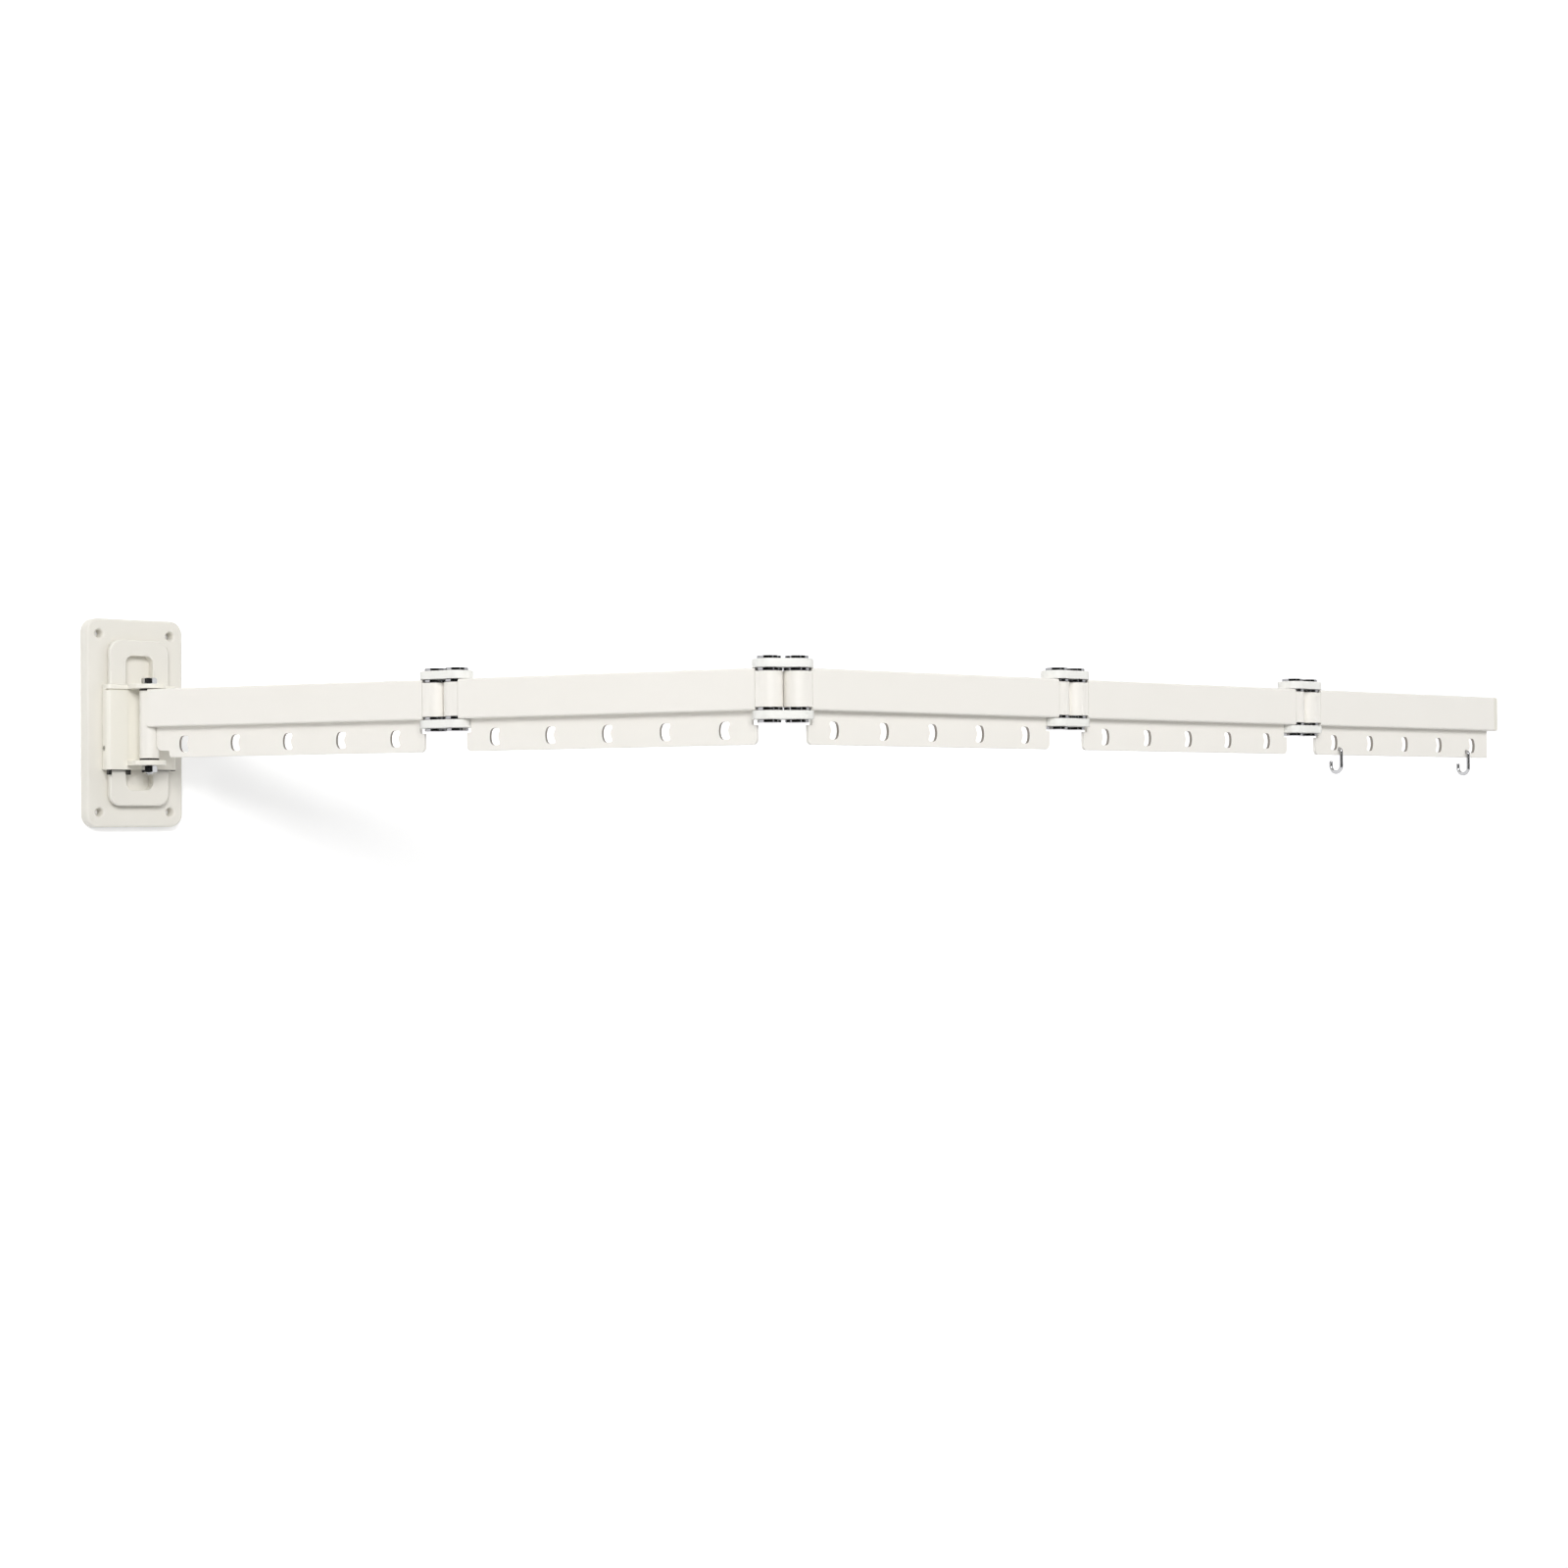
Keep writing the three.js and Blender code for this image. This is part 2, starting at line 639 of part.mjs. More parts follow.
const carriage = new THREE.Group();
carriage.position.set(0, -plateThickness - standOff, armLevel);
rack.add(carriage);
carriage.add(piece('carriage', carriageBody(), plateCream));
carriage.add(piece('clamp_screw', clampScrewBody(), darkSteel));
carriage.add(piece('pivot_bolt', pivotBolt(), chrome));
carriage.add(piece('pivot_nut', pivotNut(), chrome));
const pivotRing = ring(boltDiameter + 2 * fit, baseBarrel, 0, pivotWasher, smallSides);
carriage.add(piece('pivot_washer_top', pivotRing.translate([0, 0, baseBarrelTop + fit]), darkSteel));
carriage.add(piece('pivot_washer_bottom', pivotRing.translate([0, 0, lowerEarTop + fit]), darkSteel));

function addWashers(group, label, x) {
  const washer = ring(rivetShaft + 2 * fit, washerDiameter, washerBottom, washerTop, smallSides);
  group.add(piece(`washer_${label}_top`, washer.translate([x, 0, 0]), chrome));
  group.add(piece(`washer_${label}_bottom`, washer.translate([x, 0, -washerTop - washerBottom]), chrome));
}

function addArm(parent, number, x, heading) {
  const arm = new THREE.Group();
  arm.position.set(x, 0, 0);
  arm.rotation.z = THREE.MathUtils.degToRad(heading);
  parent.add(arm);
  arm.add(piece(`arm_${number}`, armProfile(number), cream));
  if (number === 1) {
    arm.add(piece('base_knuckle', baseKnuckle(), cream));
  } else {
    arm.add(piece(`knuckle_${number}_inner`, hingeKnuckle(), cream));
  }
  if (number <= hingeAngles.length) {
    const outer = hingeKnuckle().rotate([0, 0, 180]).translate([armPitch, 0, 0]);
    arm.add(piece(`knuckle_${number}_outer`, outer, cream));
  }
  return arm;
}

function addLink(parent, number, heading) {
  const link = new THREE.Group();
  link.position.set(armPitch, 0, 0);
  link.rotation.z = THREE.MathUtils.degToRad(heading);
  parent.add(link);
  link.add(piece(`link_${number}_top`, linkPlate(1), cream));
  link.add(piece(`link_${number}_bottom`, linkPlate(-1), cream));
  for (const [letter, x] of [['a', 0], ['b', linkPitch]]) {
    link.add(piece(`rivet_${number}_${letter}`, rivet().translate([x, 0, 0]), chrome));
    addWashers(link, `${number}_${letter}`, x);
  }
  return link;
}

let arm = addArm(carriage, 1, 0, baseHeading);
hingeAngles.forEach(([linkTurn, armTurn], i) => {
  const link = addLink(arm, i + 1, linkTurn);
  arm = addArm(link, i + 2, linkPitch, armTurn);
});

arm.add(piece('end_cap', endCap(), capCream));
hookPlaces().forEach((x, i) => {
  const hanging = new THREE.Group();
  hanging.position.set(x, 0, hookLevel);
  arm.add(hanging);
  hanging.add(piece(`hook_${i + 1}`, hook(), chrome));
});

export default rack;
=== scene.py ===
# %% [markdown]
# A folding clothes rack on a wall, dressed for its portrait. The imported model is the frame: it says where
# each piece sits, which body it rides on and where the pivots are. Every finished piece goes into that frame
# in metres.

# %% Load the frame
import json
import math

import bmesh
import bpy
from mathutils import Matrix, Vector


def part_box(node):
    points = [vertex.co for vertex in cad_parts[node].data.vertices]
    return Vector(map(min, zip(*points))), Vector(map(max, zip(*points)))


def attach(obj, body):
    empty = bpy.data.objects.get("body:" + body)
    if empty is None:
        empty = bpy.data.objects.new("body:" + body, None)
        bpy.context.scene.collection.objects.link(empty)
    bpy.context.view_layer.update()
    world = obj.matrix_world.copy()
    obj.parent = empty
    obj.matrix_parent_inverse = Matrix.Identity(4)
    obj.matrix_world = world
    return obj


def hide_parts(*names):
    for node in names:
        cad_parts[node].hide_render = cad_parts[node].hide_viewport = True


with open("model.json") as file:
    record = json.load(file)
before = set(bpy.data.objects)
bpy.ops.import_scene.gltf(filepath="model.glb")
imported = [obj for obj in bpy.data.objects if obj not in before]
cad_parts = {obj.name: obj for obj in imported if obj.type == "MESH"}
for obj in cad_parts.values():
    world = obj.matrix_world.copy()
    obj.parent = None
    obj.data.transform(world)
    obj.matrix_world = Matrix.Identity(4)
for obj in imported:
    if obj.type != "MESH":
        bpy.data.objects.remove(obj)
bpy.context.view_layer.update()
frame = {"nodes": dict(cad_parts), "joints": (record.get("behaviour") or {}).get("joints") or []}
joints = {joint["name"]: joint for joint in frame["joints"]}
scene = bpy.context.scene
MM = 0.001
X, Y, Z = range(3)
print("frame loaded with", len(frame["nodes"]), "nodes")

# %% [markdown]
# The camera stands as the photo's did: to the left of the rack and a little below its tubes, looking one
# degree up. The elbow between the second and third arm is the anchor, so the picture fits the arms first.

# %% Camera
def pivot(name):
    """Place of a joint in the frame, in metres."""
    return Vector(joints[name]["pos_m"])


camera_from_elbow = Vector((-1.17773, -1.42306, -0.09537))
camera_heading = math.radians(39.91)
camera_tilt = math.radians(0.967)
camera_roll = math.radians(0.398)
picture_width = 1600
focal_pixels = 2789.15
farthest_seen = 20.0

camera_data = bpy.data.cameras.new("portrait_camera")
camera_data.lens = focal_pixels / picture_width * camera_data.sensor_width
camera_data.clip_end = farthest_seen
camera = bpy.data.objects.new("portrait_camera", camera_data)
turn = Matrix.Rotation(-camera_heading, 4, "Z") @ Matrix.Rotation(math.pi / 2 + camera_tilt, 4, "X")
turn = turn @ Matrix.Rotation(-camera_roll, 4, "Z")
elbow = pivot("hinge_2_inner")
camera.matrix_world = Matrix.Translation(elbow + camera_from_elbow) @ turn
scene.collection.objects.link(camera)
scene.camera = camera
scene.view_settings.view_transform = "Standard"
print("camera at", [round(value, 4) for value in camera.matrix_world.translation])

# %% [markdown]
# Materials are node graphs. One function turns a colour written as an sRGB hex value into the linear light
# that the shader wants, and one small function adds a node with its settings and links. No real skin is
# even, so each finish has a noise that varies its gloss and one that raises its surface by a hair.

# %% Helpers for materials
least_roughness = 0.02


def linear(code):
    """Linear RGBA of an sRGB hex colour such as #efece2."""
    values = [int(code[i:i + 2], 16) / 255 for i in (1, 3, 5)]
    return [v / 12.92 if v <= 0.04045 else ((v + 0.055) / 1.055) ** 2.4 for v in values] + [1.0]


def add(material, kind, links=None, **settings):
    """Adds a node, sets its properties or inputs, and links its inputs from other nodes' outputs."""
    node = material.node_tree.nodes.new(kind)
    for key, value in settings.items():
        if hasattr(node, key):
            setattr(node, key, value)
        else:
            node.inputs[key.replace("_", " ")].default_value = value
    for socket, source in (links or {}).items():
        material.node_tree.links.new(source, node.inputs[socket])
    return node


def blank_material(name):
    """Material with an empty node graph."""
    material = bpy.data.materials.new(name)
    material.use_nodes = True
    material.node_tree.nodes.clear()
    print("material", name)
    return material


def new_material(name):
    """Material with a Principled shader on its output, and the place on the object that its noises read."""
    material = blank_material(name)
    shader = add(material, "ShaderNodeBsdfPrincipled")
    add(material, "ShaderNodeOutputMaterial", {"Surface": shader.outputs["BSDF"]})
    place = add(material, "ShaderNodeTexCoord").outputs["Object"]
    return material, shader, place


def uneven_skin(material, shader, gloss_noise, roughness, spread, bump_noise, strength, height):
    """Lets one noise vary the roughness within a spread, and one raise the surface by up to a height."""
    gloss = add(material, "ShaderNodeMapRange", {"Value": gloss_noise.outputs["Fac"]},
                To_Min=max(roughness + spread[0], least_roughness), To_Max=roughness + spread[1])
    bump = add(material, "ShaderNodeBump", {"Height": bump_noise.outputs["Fac"]}, Strength=strength,
               Distance=height)
    material.node_tree.links.new(gloss.outputs["Result"], shader.inputs["Roughness"])
    material.node_tree.links.new(bump.outputs["Normal"], shader.inputs["Normal"])


# %% [markdown]
# Powder coat is sprayed as dry powder and baked. It flows into a satin skin with a fine orange-peel texture,
# about a millimetre from bump to bump, and it gathers a little thicker and warmer in some places. Three
# noises give that: a fine one for the bump, a finer one for the gloss, and a broad one that shifts the
# colour by a hair.

# %% Powder coat
peel_spacing = 1.1 * MM
peel_height = 0.06 * MM
peel_strength = 0.12
cloud_spacing = 60 * MM
grain_spacing = 0.5 * MM
coat_spread = (-0.04, 0.06)
coat_ior = 1.5


def powder_coat(name, light, shade, roughness):
    """Cream powder coat on metal: orange-peel bump, faint clouds in colour, grain in gloss."""
    material, shader, place = new_material(name)
    clouds = add(material, "ShaderNodeTexNoise", {"Vector": place}, Scale=1 / cloud_spacing, Detail=2.0)
    mix = add(material, "ShaderNodeMix", {"Factor": clouds.outputs["Fac"]}, data_type="RGBA")
    mix.inputs["A"].default_value = linear(light)
    mix.inputs["B"].default_value = linear(shade)
    material.node_tree.links.new(mix.outputs["Result"], shader.inputs["Base Color"])
    peel = add(material, "ShaderNodeTexNoise", {"Vector": place}, Scale=1 / peel_spacing, Detail=1.0)
    grain = add(material, "ShaderNodeTexNoise", {"Vector": place}, Scale=1 / grain_spacing, Detail=2.0)
    uneven_skin(material, shader, grain, roughness, coat_spread, peel, peel_strength, peel_height)
    shader.inputs["IOR"].default_value = coat_ior
    return material


arm_coat = powder_coat("arm_powder_coat", "#f4f1eb", "#f1eee7", roughness=0.34)
link_coat = powder_coat("link_powder_coat", "#f3f3ef", "#f0f0eb", roughness=0.32)
plate_coat = powder_coat("plate_powder_coat", "#edeae2", "#e9e6dd", roughness=0.38)
# The carriage has the plate's cream coat, drawn lighter as painted light that lifts the shade on it.
carriage_coat_painted_light = powder_coat("carriage_powder_coat_painted_light", "#f5f2e8", "#f2efe4", roughness=0.36)

# %% [markdown]
# Bolt and nut are chrome plated steel and the hooks are nickel plated wire. Plating copies the polish
# below it, so the gloss is high with faint turning or drawing marks. The rivets and their washers are nickel
# plated and smoother, so that each rim mirrors the dark side of the studio as a sharp dark core between pale
# ends. The punched walls of the hanger holes are bare aluminium, dull, and drawn much darker than bare
# metal, as painted shade that makes the holes read grey. The pivot washers are blackened steel, the clamp
# screw is zinc plated, and cap and glides are moulded plastic. Marks and mould grain are drawn coarser than
# real ones, because those are too fine to show.

# %% Metal and plastic
mark_length = 3.5 * MM
mark_squeeze = (1.0, 1.0, 8.0)
mark_height = 0.02 * MM
metal_spread = (-0.04, 0.08)
mould_height = 0.05 * MM
mould_strength = 0.2
plastic_spread = (-0.05, 0.05)


def worked_metal(name, colour, roughness, marking, edge_tint="#ffffff"):
    """Metal whose gloss is broken by fine marks."""
    material, shader, place = new_material(name)
    stretch = add(material, "ShaderNodeMapping", {"Vector": place}, Scale=mark_squeeze)
    marks = add(material, "ShaderNodeTexNoise", {"Vector": stretch.outputs["Vector"]}, Scale=1 / mark_length)
    uneven_skin(material, shader, marks, roughness, metal_spread, marks, marking, mark_height)
    shader.inputs["Base Color"].default_value = linear(colour)
    shader.inputs["Specular Tint"].default_value = linear(edge_tint)
    shader.inputs["Metallic"].default_value = 1.0
    return material


def moulded_plastic(name, colour, roughness):
    """Satin plastic with the fine grain of an eroded mould."""
    material, shader, place = new_material(name)
    grain = add(material, "ShaderNodeTexNoise", {"Vector": place}, Scale=1 / grain_spacing, Detail=3.0)
    uneven_skin(material, shader, grain, roughness, plastic_spread, grain, mould_strength, mould_height)
    shader.inputs["Base Color"].default_value = linear(colour)
    return material


chrome_plate = worked_metal("chrome_plated_steel", "#cfd0d2", roughness=0.08, marking=0.10)
wire_nickel = worked_metal("nickel_plated_wire", "#c0c0c2", roughness=0.18, marking=0.10)
rivet_nickel = worked_metal("polished_nickel_plate", "#a4a4a7", roughness=0.07, marking=0.05,
                            edge_tint="#d0d0d2")
black_steel = worked_metal("blackened_steel", "#3c3a37", roughness=0.38, marking=0.25, edge_tint="#555350")
zinc_plate = worked_metal("zinc_plated_steel", "#c9c8c2", roughness=0.34, marking=0.20)
# The grey of the hole walls is darker than bare aluminium: painted shade inside the holes.
bare_wall_and_painted_shade = worked_metal("punched_aluminium_and_painted_shade", "#9a958f", roughness=0.55, marking=0.30)
cap_plastic = moulded_plastic("cap_moulded_plastic", "#e9e6dc", roughness=0.5)
glide_plastic = moulded_plastic("glide_moulded_plastic", "#1d1b19", roughness=0.45)

# %% [markdown]
# New pieces are made with mesh operators in a small local space, where the work is easy to picture, and are
# then moved to their place. The moves that repeat are a block, the rounding of some of its edges, a slab,
# which is a block with four round edges, and a profile that is spun to a turned solid.

# %% Helpers for shapes
merge_distance = 1e-7
same_level = 1e-6
straight_enough = 0.999


def block(low, high):
    """Box between two corners."""
    bm = bmesh.new()
    low, high = Vector(low), Vector(high)
    size = Matrix.Diagonal((*(high - low), 1.0))
    bmesh.ops.create_cube(bm, size=1.0, matrix=Matrix.Translation((low + high) / 2) @ size)
    return bm


def edges_along(bm, axis):
    """Edges that run along the axis X, Y or Z."""
    found = []
    for edge in bm.edges:
        line = edge.verts[1].co - edge.verts[0].co
        if abs(line[axis]) > straight_enough * line.length:
            found.append(edge)
    return found


def edges_at(bm, axis, level):
    """Edges that lie in the plane at a level of an axis."""
    return [edge for edge in bm.edges if all(abs(vert.co[axis] - level) < same_level for vert in edge.verts)]


def rounded(bm, edges, radius, segments):
    """Rounds some edges of a shape."""
    bmesh.ops.bevel(bm, geom=edges, offset=radius, offset_type="OFFSET", affect="EDGES", segments=segments,
                    profile=0.5, material=-1, clamp_overlap=False)
    bmesh.ops.remove_doubles(bm, verts=bm.verts, dist=merge_distance)


def slab(low, high, axis, radius, segments):
    """Block whose four edges along an axis are rounded."""
    bm = block(low, high)
    rounded(bm, edges_along(bm, axis), radius, segments)
    return bm


def turned(profile, steps=64):
    """Solid of revolution about Z from points of radius and level, closed on the axis or on itself."""
    bm = bmesh.new()
    verts = [bm.verts.new((radius, 0, level)) for radius, level in profile]
    edges = [bm.edges.new(pair) for pair in zip(verts, verts[1:])]
    bmesh.ops.spin(bm, geom=verts + edges, cent=(0, 0, 0), axis=(0, 0, 1), dvec=(0, 0, 0), angle=2 * math.pi,
                   steps=steps, use_merge=True, use_duplicate=False)
    bmesh.ops.remove_doubles(bm, verts=bm.verts, dist=merge_distance)
    bmesh.ops.recalc_face_normals(bm, faces=bm.faces)
    return bm


def moved(bm, matrix):
    """The same shape, moved."""
    bmesh.ops.transform(bm, matrix=matrix, verts=bm.verts)
    return bm


# %% [markdown]
# Cuts and joins are worked out by the Boolean modifier on scratch objects, which are then removed: that
# leaves a clean mesh and no helpers in the scene. The last step hands a shape to the frame. No real edge is
# quite sharp, so a bevel by angle softens the edges, and weighted normals keep the large faces flat in
# shading. A piece that is round all over needs no bevel, and its sharp edges are marked by their angle. Each
# piece is named for its node and its kind, as in wall_plate_cast.

# %% Helpers for joining and finishing
soft_angle = math.radians(50)
soft_segments = 3
sharp_angle = math.radians(32)


def scratch(bm):
    """Temporary object that holds a shape."""
    mesh = bpy.data.meshes.new("scratch")
    bm.to_mesh(mesh)
    bm.free()
    made = bpy.data.objects.new("scratch", mesh)
    scene.collection.objects.link(made)
    return made


def combined(bm, others, operation):
    """Joins other shapes to one, cuts them from it or keeps what they share, and gives the result."""
    first = scratch(bm)
    seconds = [scratch(other) for other in others]
    for second in seconds:
        change = first.modifiers.new("combine", "BOOLEAN")
        change.operation = operation
        change.solver = "EXACT"
        change.object = second
    graph = bpy.context.evaluated_depsgraph_get()
    result = bmesh.new()
    result.from_object(first, graph)
    for made in [first, *seconds]:
        mesh = made.data
        bpy.data.objects.remove(made)
        bpy.data.meshes.remove(mesh)
    bmesh.ops.remove_doubles(result, verts=result.verts, dist=merge_distance)
    return result


def soft_edges(made, width):
    """Rounds the sharp edges of a piece and keeps its large faces flat in shading."""
    if width:
        edge = made.modifiers.new("soft edges", "BEVEL")
        edge.width = width
        edge.segments = soft_segments
        edge.limit_method = "ANGLE"
        edge.angle_limit = soft_angle
    flat = made.modifiers.new("flat faces", "WEIGHTED_NORMAL")
    flat.keep_sharp = not width


def finished(bm, node, kind, body, material, soften=0.0):
    """Makes a piece of a shape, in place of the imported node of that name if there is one."""
    bmesh.ops.recalc_face_normals(bm, faces=bm.faces)
    mesh = bpy.data.meshes.new(f"{node}_{kind}")
    bm.to_mesh(mesh)
    bm.free()
    mesh.materials.append(material)
    mesh.polygons.foreach_set("use_smooth", [True] * len(mesh.polygons))
    if not soften:
        mesh.set_sharp_from_angle(angle=sharp_angle)
    made = bpy.data.objects.new(mesh.name, mesh)
    scene.collection.objects.link(made)
    soft_edges(made, soften)
    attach(made, body)
    if node in frame["nodes"]:
        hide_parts(node)
    print(made.name, [round(value / MM, 1) for value in made.dimensions], "mm,", len(mesh.polygons), "faces")
    return made


# %% [markdown]
# The wall plate is a cast slab with round corners and a rolled front edge, like a bar of soap cut flat at
# the back. A box gets its corners from one bevel and its rolled edge from a second, and each screw hole is
# cut with a turned drill shape that ends in a countersink.

# %% Wall plate
plate_low, plate_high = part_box("wall_plate")
plate_front = plate_low.y
plate_depth = plate_high.y - plate_front
plate_corner = 10 * MM
plate_roll = 2.2 * MM
plate_edge = 0.25 * MM
screw_radius = 2.75 * MM
sink_radius = 4.7 * MM
sink_depth = sink_radius - screw_radius
screw_x = 29.3 * MM
screw_z = 67.7 * MM
overrun = 1.0 * MM

plate_shape = slab(plate_low, plate_high, Y, plate_corner, segments=20)
rounded(plate_shape, edges_at(plate_shape, Y, plate_front), plate_roll, segments=8)


def screw_drill(x, z):
    """Drill shape of one countersunk hole, its wide end at the plate's front."""
    profile = [
        (0, -overrun), (screw_radius, -overrun), (screw_radius, plate_depth - sink_depth),
        (sink_radius, plate_depth), (sink_radius, plate_depth + overrun), (0, plate_depth + overrun),
    ]
    place = Matrix.Translation((x, plate_high.y, z)) @ Matrix.Rotation(math.pi / 2, 4, "X")
    return moved(turned(profile, steps=48), place)


drills = [screw_drill(x, z) for x in (-screw_x, screw_x) for z in (-screw_z, screw_z)]
plate_shape = combined(plate_shape, drills, "DIFFERENCE")
finished(plate_shape, "wall_plate", "cast", "wall_mount", plate_coat, plate_edge)

# %% [markdown]
# The rail is a long loop on the plate with a T-shaped section: a narrow neck that holds it and a wider head
# that the carriage grips. Two slabs make neck and head, and a third cuts the long opening.

# %% Rail loop
rail_low, rail_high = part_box("rail_loop")
rail_corner = 9 * MM
rail_roll = 1.4 * MM
rail_edge = 0.8 * MM
neck_rise = 2.7 * MM
neck_inset = 3 * MM
side_bar = 13.4 * MM
end_bar = 12 * MM
opening_corner = 5.5 * MM

head_back = rail_high.y - neck_rise
head = slab(rail_low, (rail_high.x, head_back, rail_high.z), Y, rail_corner, segments=16)
rounded(head, edges_at(head, Y, rail_low.y), rail_roll, segments=6)
neck = slab((rail_low.x + neck_inset, head_back - overrun, rail_low.z + neck_inset),
            (rail_high.x - neck_inset, rail_high.y, rail_high.z - neck_inset),
            Y, rail_corner - neck_inset, segments=10)
opening = slab((rail_low.x + side_bar, rail_low.y - overrun, rail_low.z + end_bar),
               (rail_high.x - side_bar, rail_high.y + overrun, rail_high.z - end_bar),
               Y, opening_corner, segments=12)
rail_shape = combined(combined(head, [neck], "UNION"), [opening], "DIFFERENCE")
finished(rail_shape, "rail_loop", "cast", "wall_mount", plate_coat, rail_edge)

# %% [markdown]
# Many later pieces start as a flat drawing. Its outline is a list of points with arcs at the round corners,
# and one extrusion turns the face within it into a solid, as a press or a saw would. A drum, which is a
# plain cylinder, serves as barrel and as bore.

# %% Helpers for drawn shapes
def arc(x, y, radius, from_turn, to_turn, steps):
    """Points on a circle between two angles, which are given in turns."""
    angles = [2 * math.pi * (from_turn + (to_turn - from_turn) * i / steps) for i in range(steps + 1)]
    return [(x + radius * math.cos(a), y + radius * math.sin(a)) for a in angles]


def pushed(corners, way):
    """Solid that a flat face of 3-D corners sweeps along a straight way."""
    bm = bmesh.new()
    face = bm.faces.new([bm.verts.new(corner) for corner in corners])
    grown = bmesh.ops.extrude_face_region(bm, geom=[face])["geom"]
    bmesh.ops.translate(bm, verts=[item for item in grown if isinstance(item, bmesh.types.BMVert)], vec=way)
    bmesh.ops.recalc_face_normals(bm, faces=bm.faces)
    return bm


def raised(plan, bottom, top):
    """Solid of an outline in X and Y between two levels."""
    return pushed([(x, y, bottom) for x, y in plan], (0, 0, top - bottom))


def across(outline, half_depth):
    """Solid of an outline in X and Z, to the same depth on both sides along Y."""
    return pushed([(x, -half_depth, z) for x, z in outline], (0, 2 * half_depth, 0))


def drum(radius, bottom, top, steps=64):
    """Cylinder on the Z axis."""
    return turned([(0, bottom), (radius, bottom), (radius, top), (0, top)], steps)


# %% [markdown]
# The carriage is one casting: a bridge over the rail with a sleeve at each side, lips that grip behind the
# rail's head, a key in the rail's opening and two ears for the bolt. Its plan is drawn once and raised, so
# sleeves and lips are made in one go. All of it is measured from the bolt's axis.

# %% Sizes and plan of the carriage
base = pivot("arm_1_swing")
fit = 0.3 * MM
slide_gap = 0.4 * MM
tube_low, tube_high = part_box("arm_3")
tube_top = tube_high.z - base.z
stand_off = plate_front - base.y
rail_front = rail_low.y - base.y
rail_gap = rail_front - slide_gap
neck_gap = stand_off - neck_rise + slide_gap
carriage_low, carriage_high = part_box("carriage")
carriage_half = carriage_high.x
carriage_bottom = carriage_low.z - base.z
carriage_back = carriage_high.y - base.y
carriage_corner = 3 * MM
back_corner = 3 * MM
sleeve_reach = 12 * MM
web_reach = 10.2 * MM
sleeve_front = stand_off - sleeve_reach
web_front = stand_off - web_reach
ear_radius = 12.4 * MM
upper_ear_thickness = 3.4 * MM
lower_ear_thickness = 3.7 * MM
upper_ear_bottom = tube_top + 2 * fit
lower_ear_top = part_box("pivot_washer_bottom")[0].z - base.z - fit
upper_ear = (upper_ear_bottom, upper_ear_bottom + upper_ear_thickness)
lower_ear = (lower_ear_top - lower_ear_thickness, lower_ear_top)
cast_edge = 0.6 * MM


def carriage_plan(inset=0.0):
    """Plan of bridge, sleeves and lips, from the front right corner round the back to the front left one."""
    half = carriage_half - inset
    wall, lip = rail_high.x + fit, rail_high.x - neck_inset + fit
    front = sleeve_front + inset
    side = arc(half - carriage_corner, front + carriage_corner, carriage_corner, 0.75, 1, steps=12)
    side += arc(half - back_corner, carriage_back - back_corner, back_corner, 0, 0.25, steps=6)
    side += [(lip, carriage_back), (lip, neck_gap), (wall, neck_gap), (wall, rail_gap)]
    return side + [(-x, y) for x, y in reversed(side)]


def in_front_of(edges, depth):
    """Those edges whose both ends lie nearer to the viewer than a depth."""
    return [edge for edge in edges if all(vert.co.y < depth for vert in edge.verts)]


def ear_shape(bottom, top):
    """Half round ear, its rim softened."""
    plan = arc(0, 0, ear_radius, 0.5, 1, steps=40) + [(ear_radius, rail_gap), (-ear_radius, rail_gap)]
    bm = raised(plan, bottom, top)
    for level in (bottom, top):
        rounded(bm, in_front_of(edges_at(bm, Z, level), sleeve_front), cast_edge, segments=4)
    return bm


print("carriage plan", len(carriage_plan()), "points")

# %% [markdown]
# The raised plan is worked like a casting that goes to the mill. The middle is cut back to a web between the
# sleeves, a crease is cut below the top flange, and ears and key are joined on. The bores for the bolt and
# the clamp screw come last, so they go through everything in their way.

# %% Carriage
crease_height = 0.9 * MM
crease_depth = 1.7 * MM
carriage_edge = 0.22 * MM
bolt_radius = 3 * MM
clamp_radius = 2 * MM

bridge = raised(carriage_plan(), carriage_bottom, upper_ear[1])
rounded(bridge, in_front_of(edges_at(bridge, Z, upper_ear[1]), rail_gap), cast_edge, segments=4)
web_cut = block((-ear_radius, sleeve_front - overrun, carriage_bottom - overrun),
                (ear_radius, web_front, upper_ear[0]))
crease_ring = block((-2 * carriage_half, 0, upper_ear[0] - crease_height),
                    (2 * carriage_half, rail_front, upper_ear[0]))
crease_core = raised(carriage_plan(crease_depth), upper_ear[0] - 2 * crease_height,
                     upper_ear[0] + crease_height)
crease = combined(crease_ring, [crease_core], "DIFFERENCE")
key_half = rail_high.x - side_bar - slide_gap
key = slab((-key_half, (web_front + rail_front) / 2, carriage_bottom + fit),
           (key_half, carriage_back, upper_ear[1] - fit), Y, opening_corner, segments=12)
bolt_bore = drum(bolt_radius + fit, lower_ear[0] - overrun, upper_ear[1] + overrun)
clamp_low, clamp_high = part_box("clamp_screw")
clamp_middle = (0, (clamp_low.y + clamp_high.y) / 2 - base.y, (clamp_low.z + clamp_high.z) / 2 - base.z)
clamp_bore = moved(drum(clamp_radius + fit, -carriage_half - overrun, -rail_high.x),
                   Matrix.Translation(clamp_middle) @ Matrix.Rotation(math.pi / 2, 4, "Y"))
carriage_shape = combined(bridge, [web_cut, crease], "DIFFERENCE")
carriage_shape = combined(carriage_shape, [ear_shape(*upper_ear), ear_shape(*lower_ear), key], "UNION")
carriage_shape = combined(carriage_shape, [bolt_bore, clamp_bore], "DIFFERENCE")
at_bolt = Matrix.Translation(base)
finished(moved(carriage_shape, at_bolt), "carriage", "cast", "carriage", carriage_coat_painted_light,
         carriage_edge)

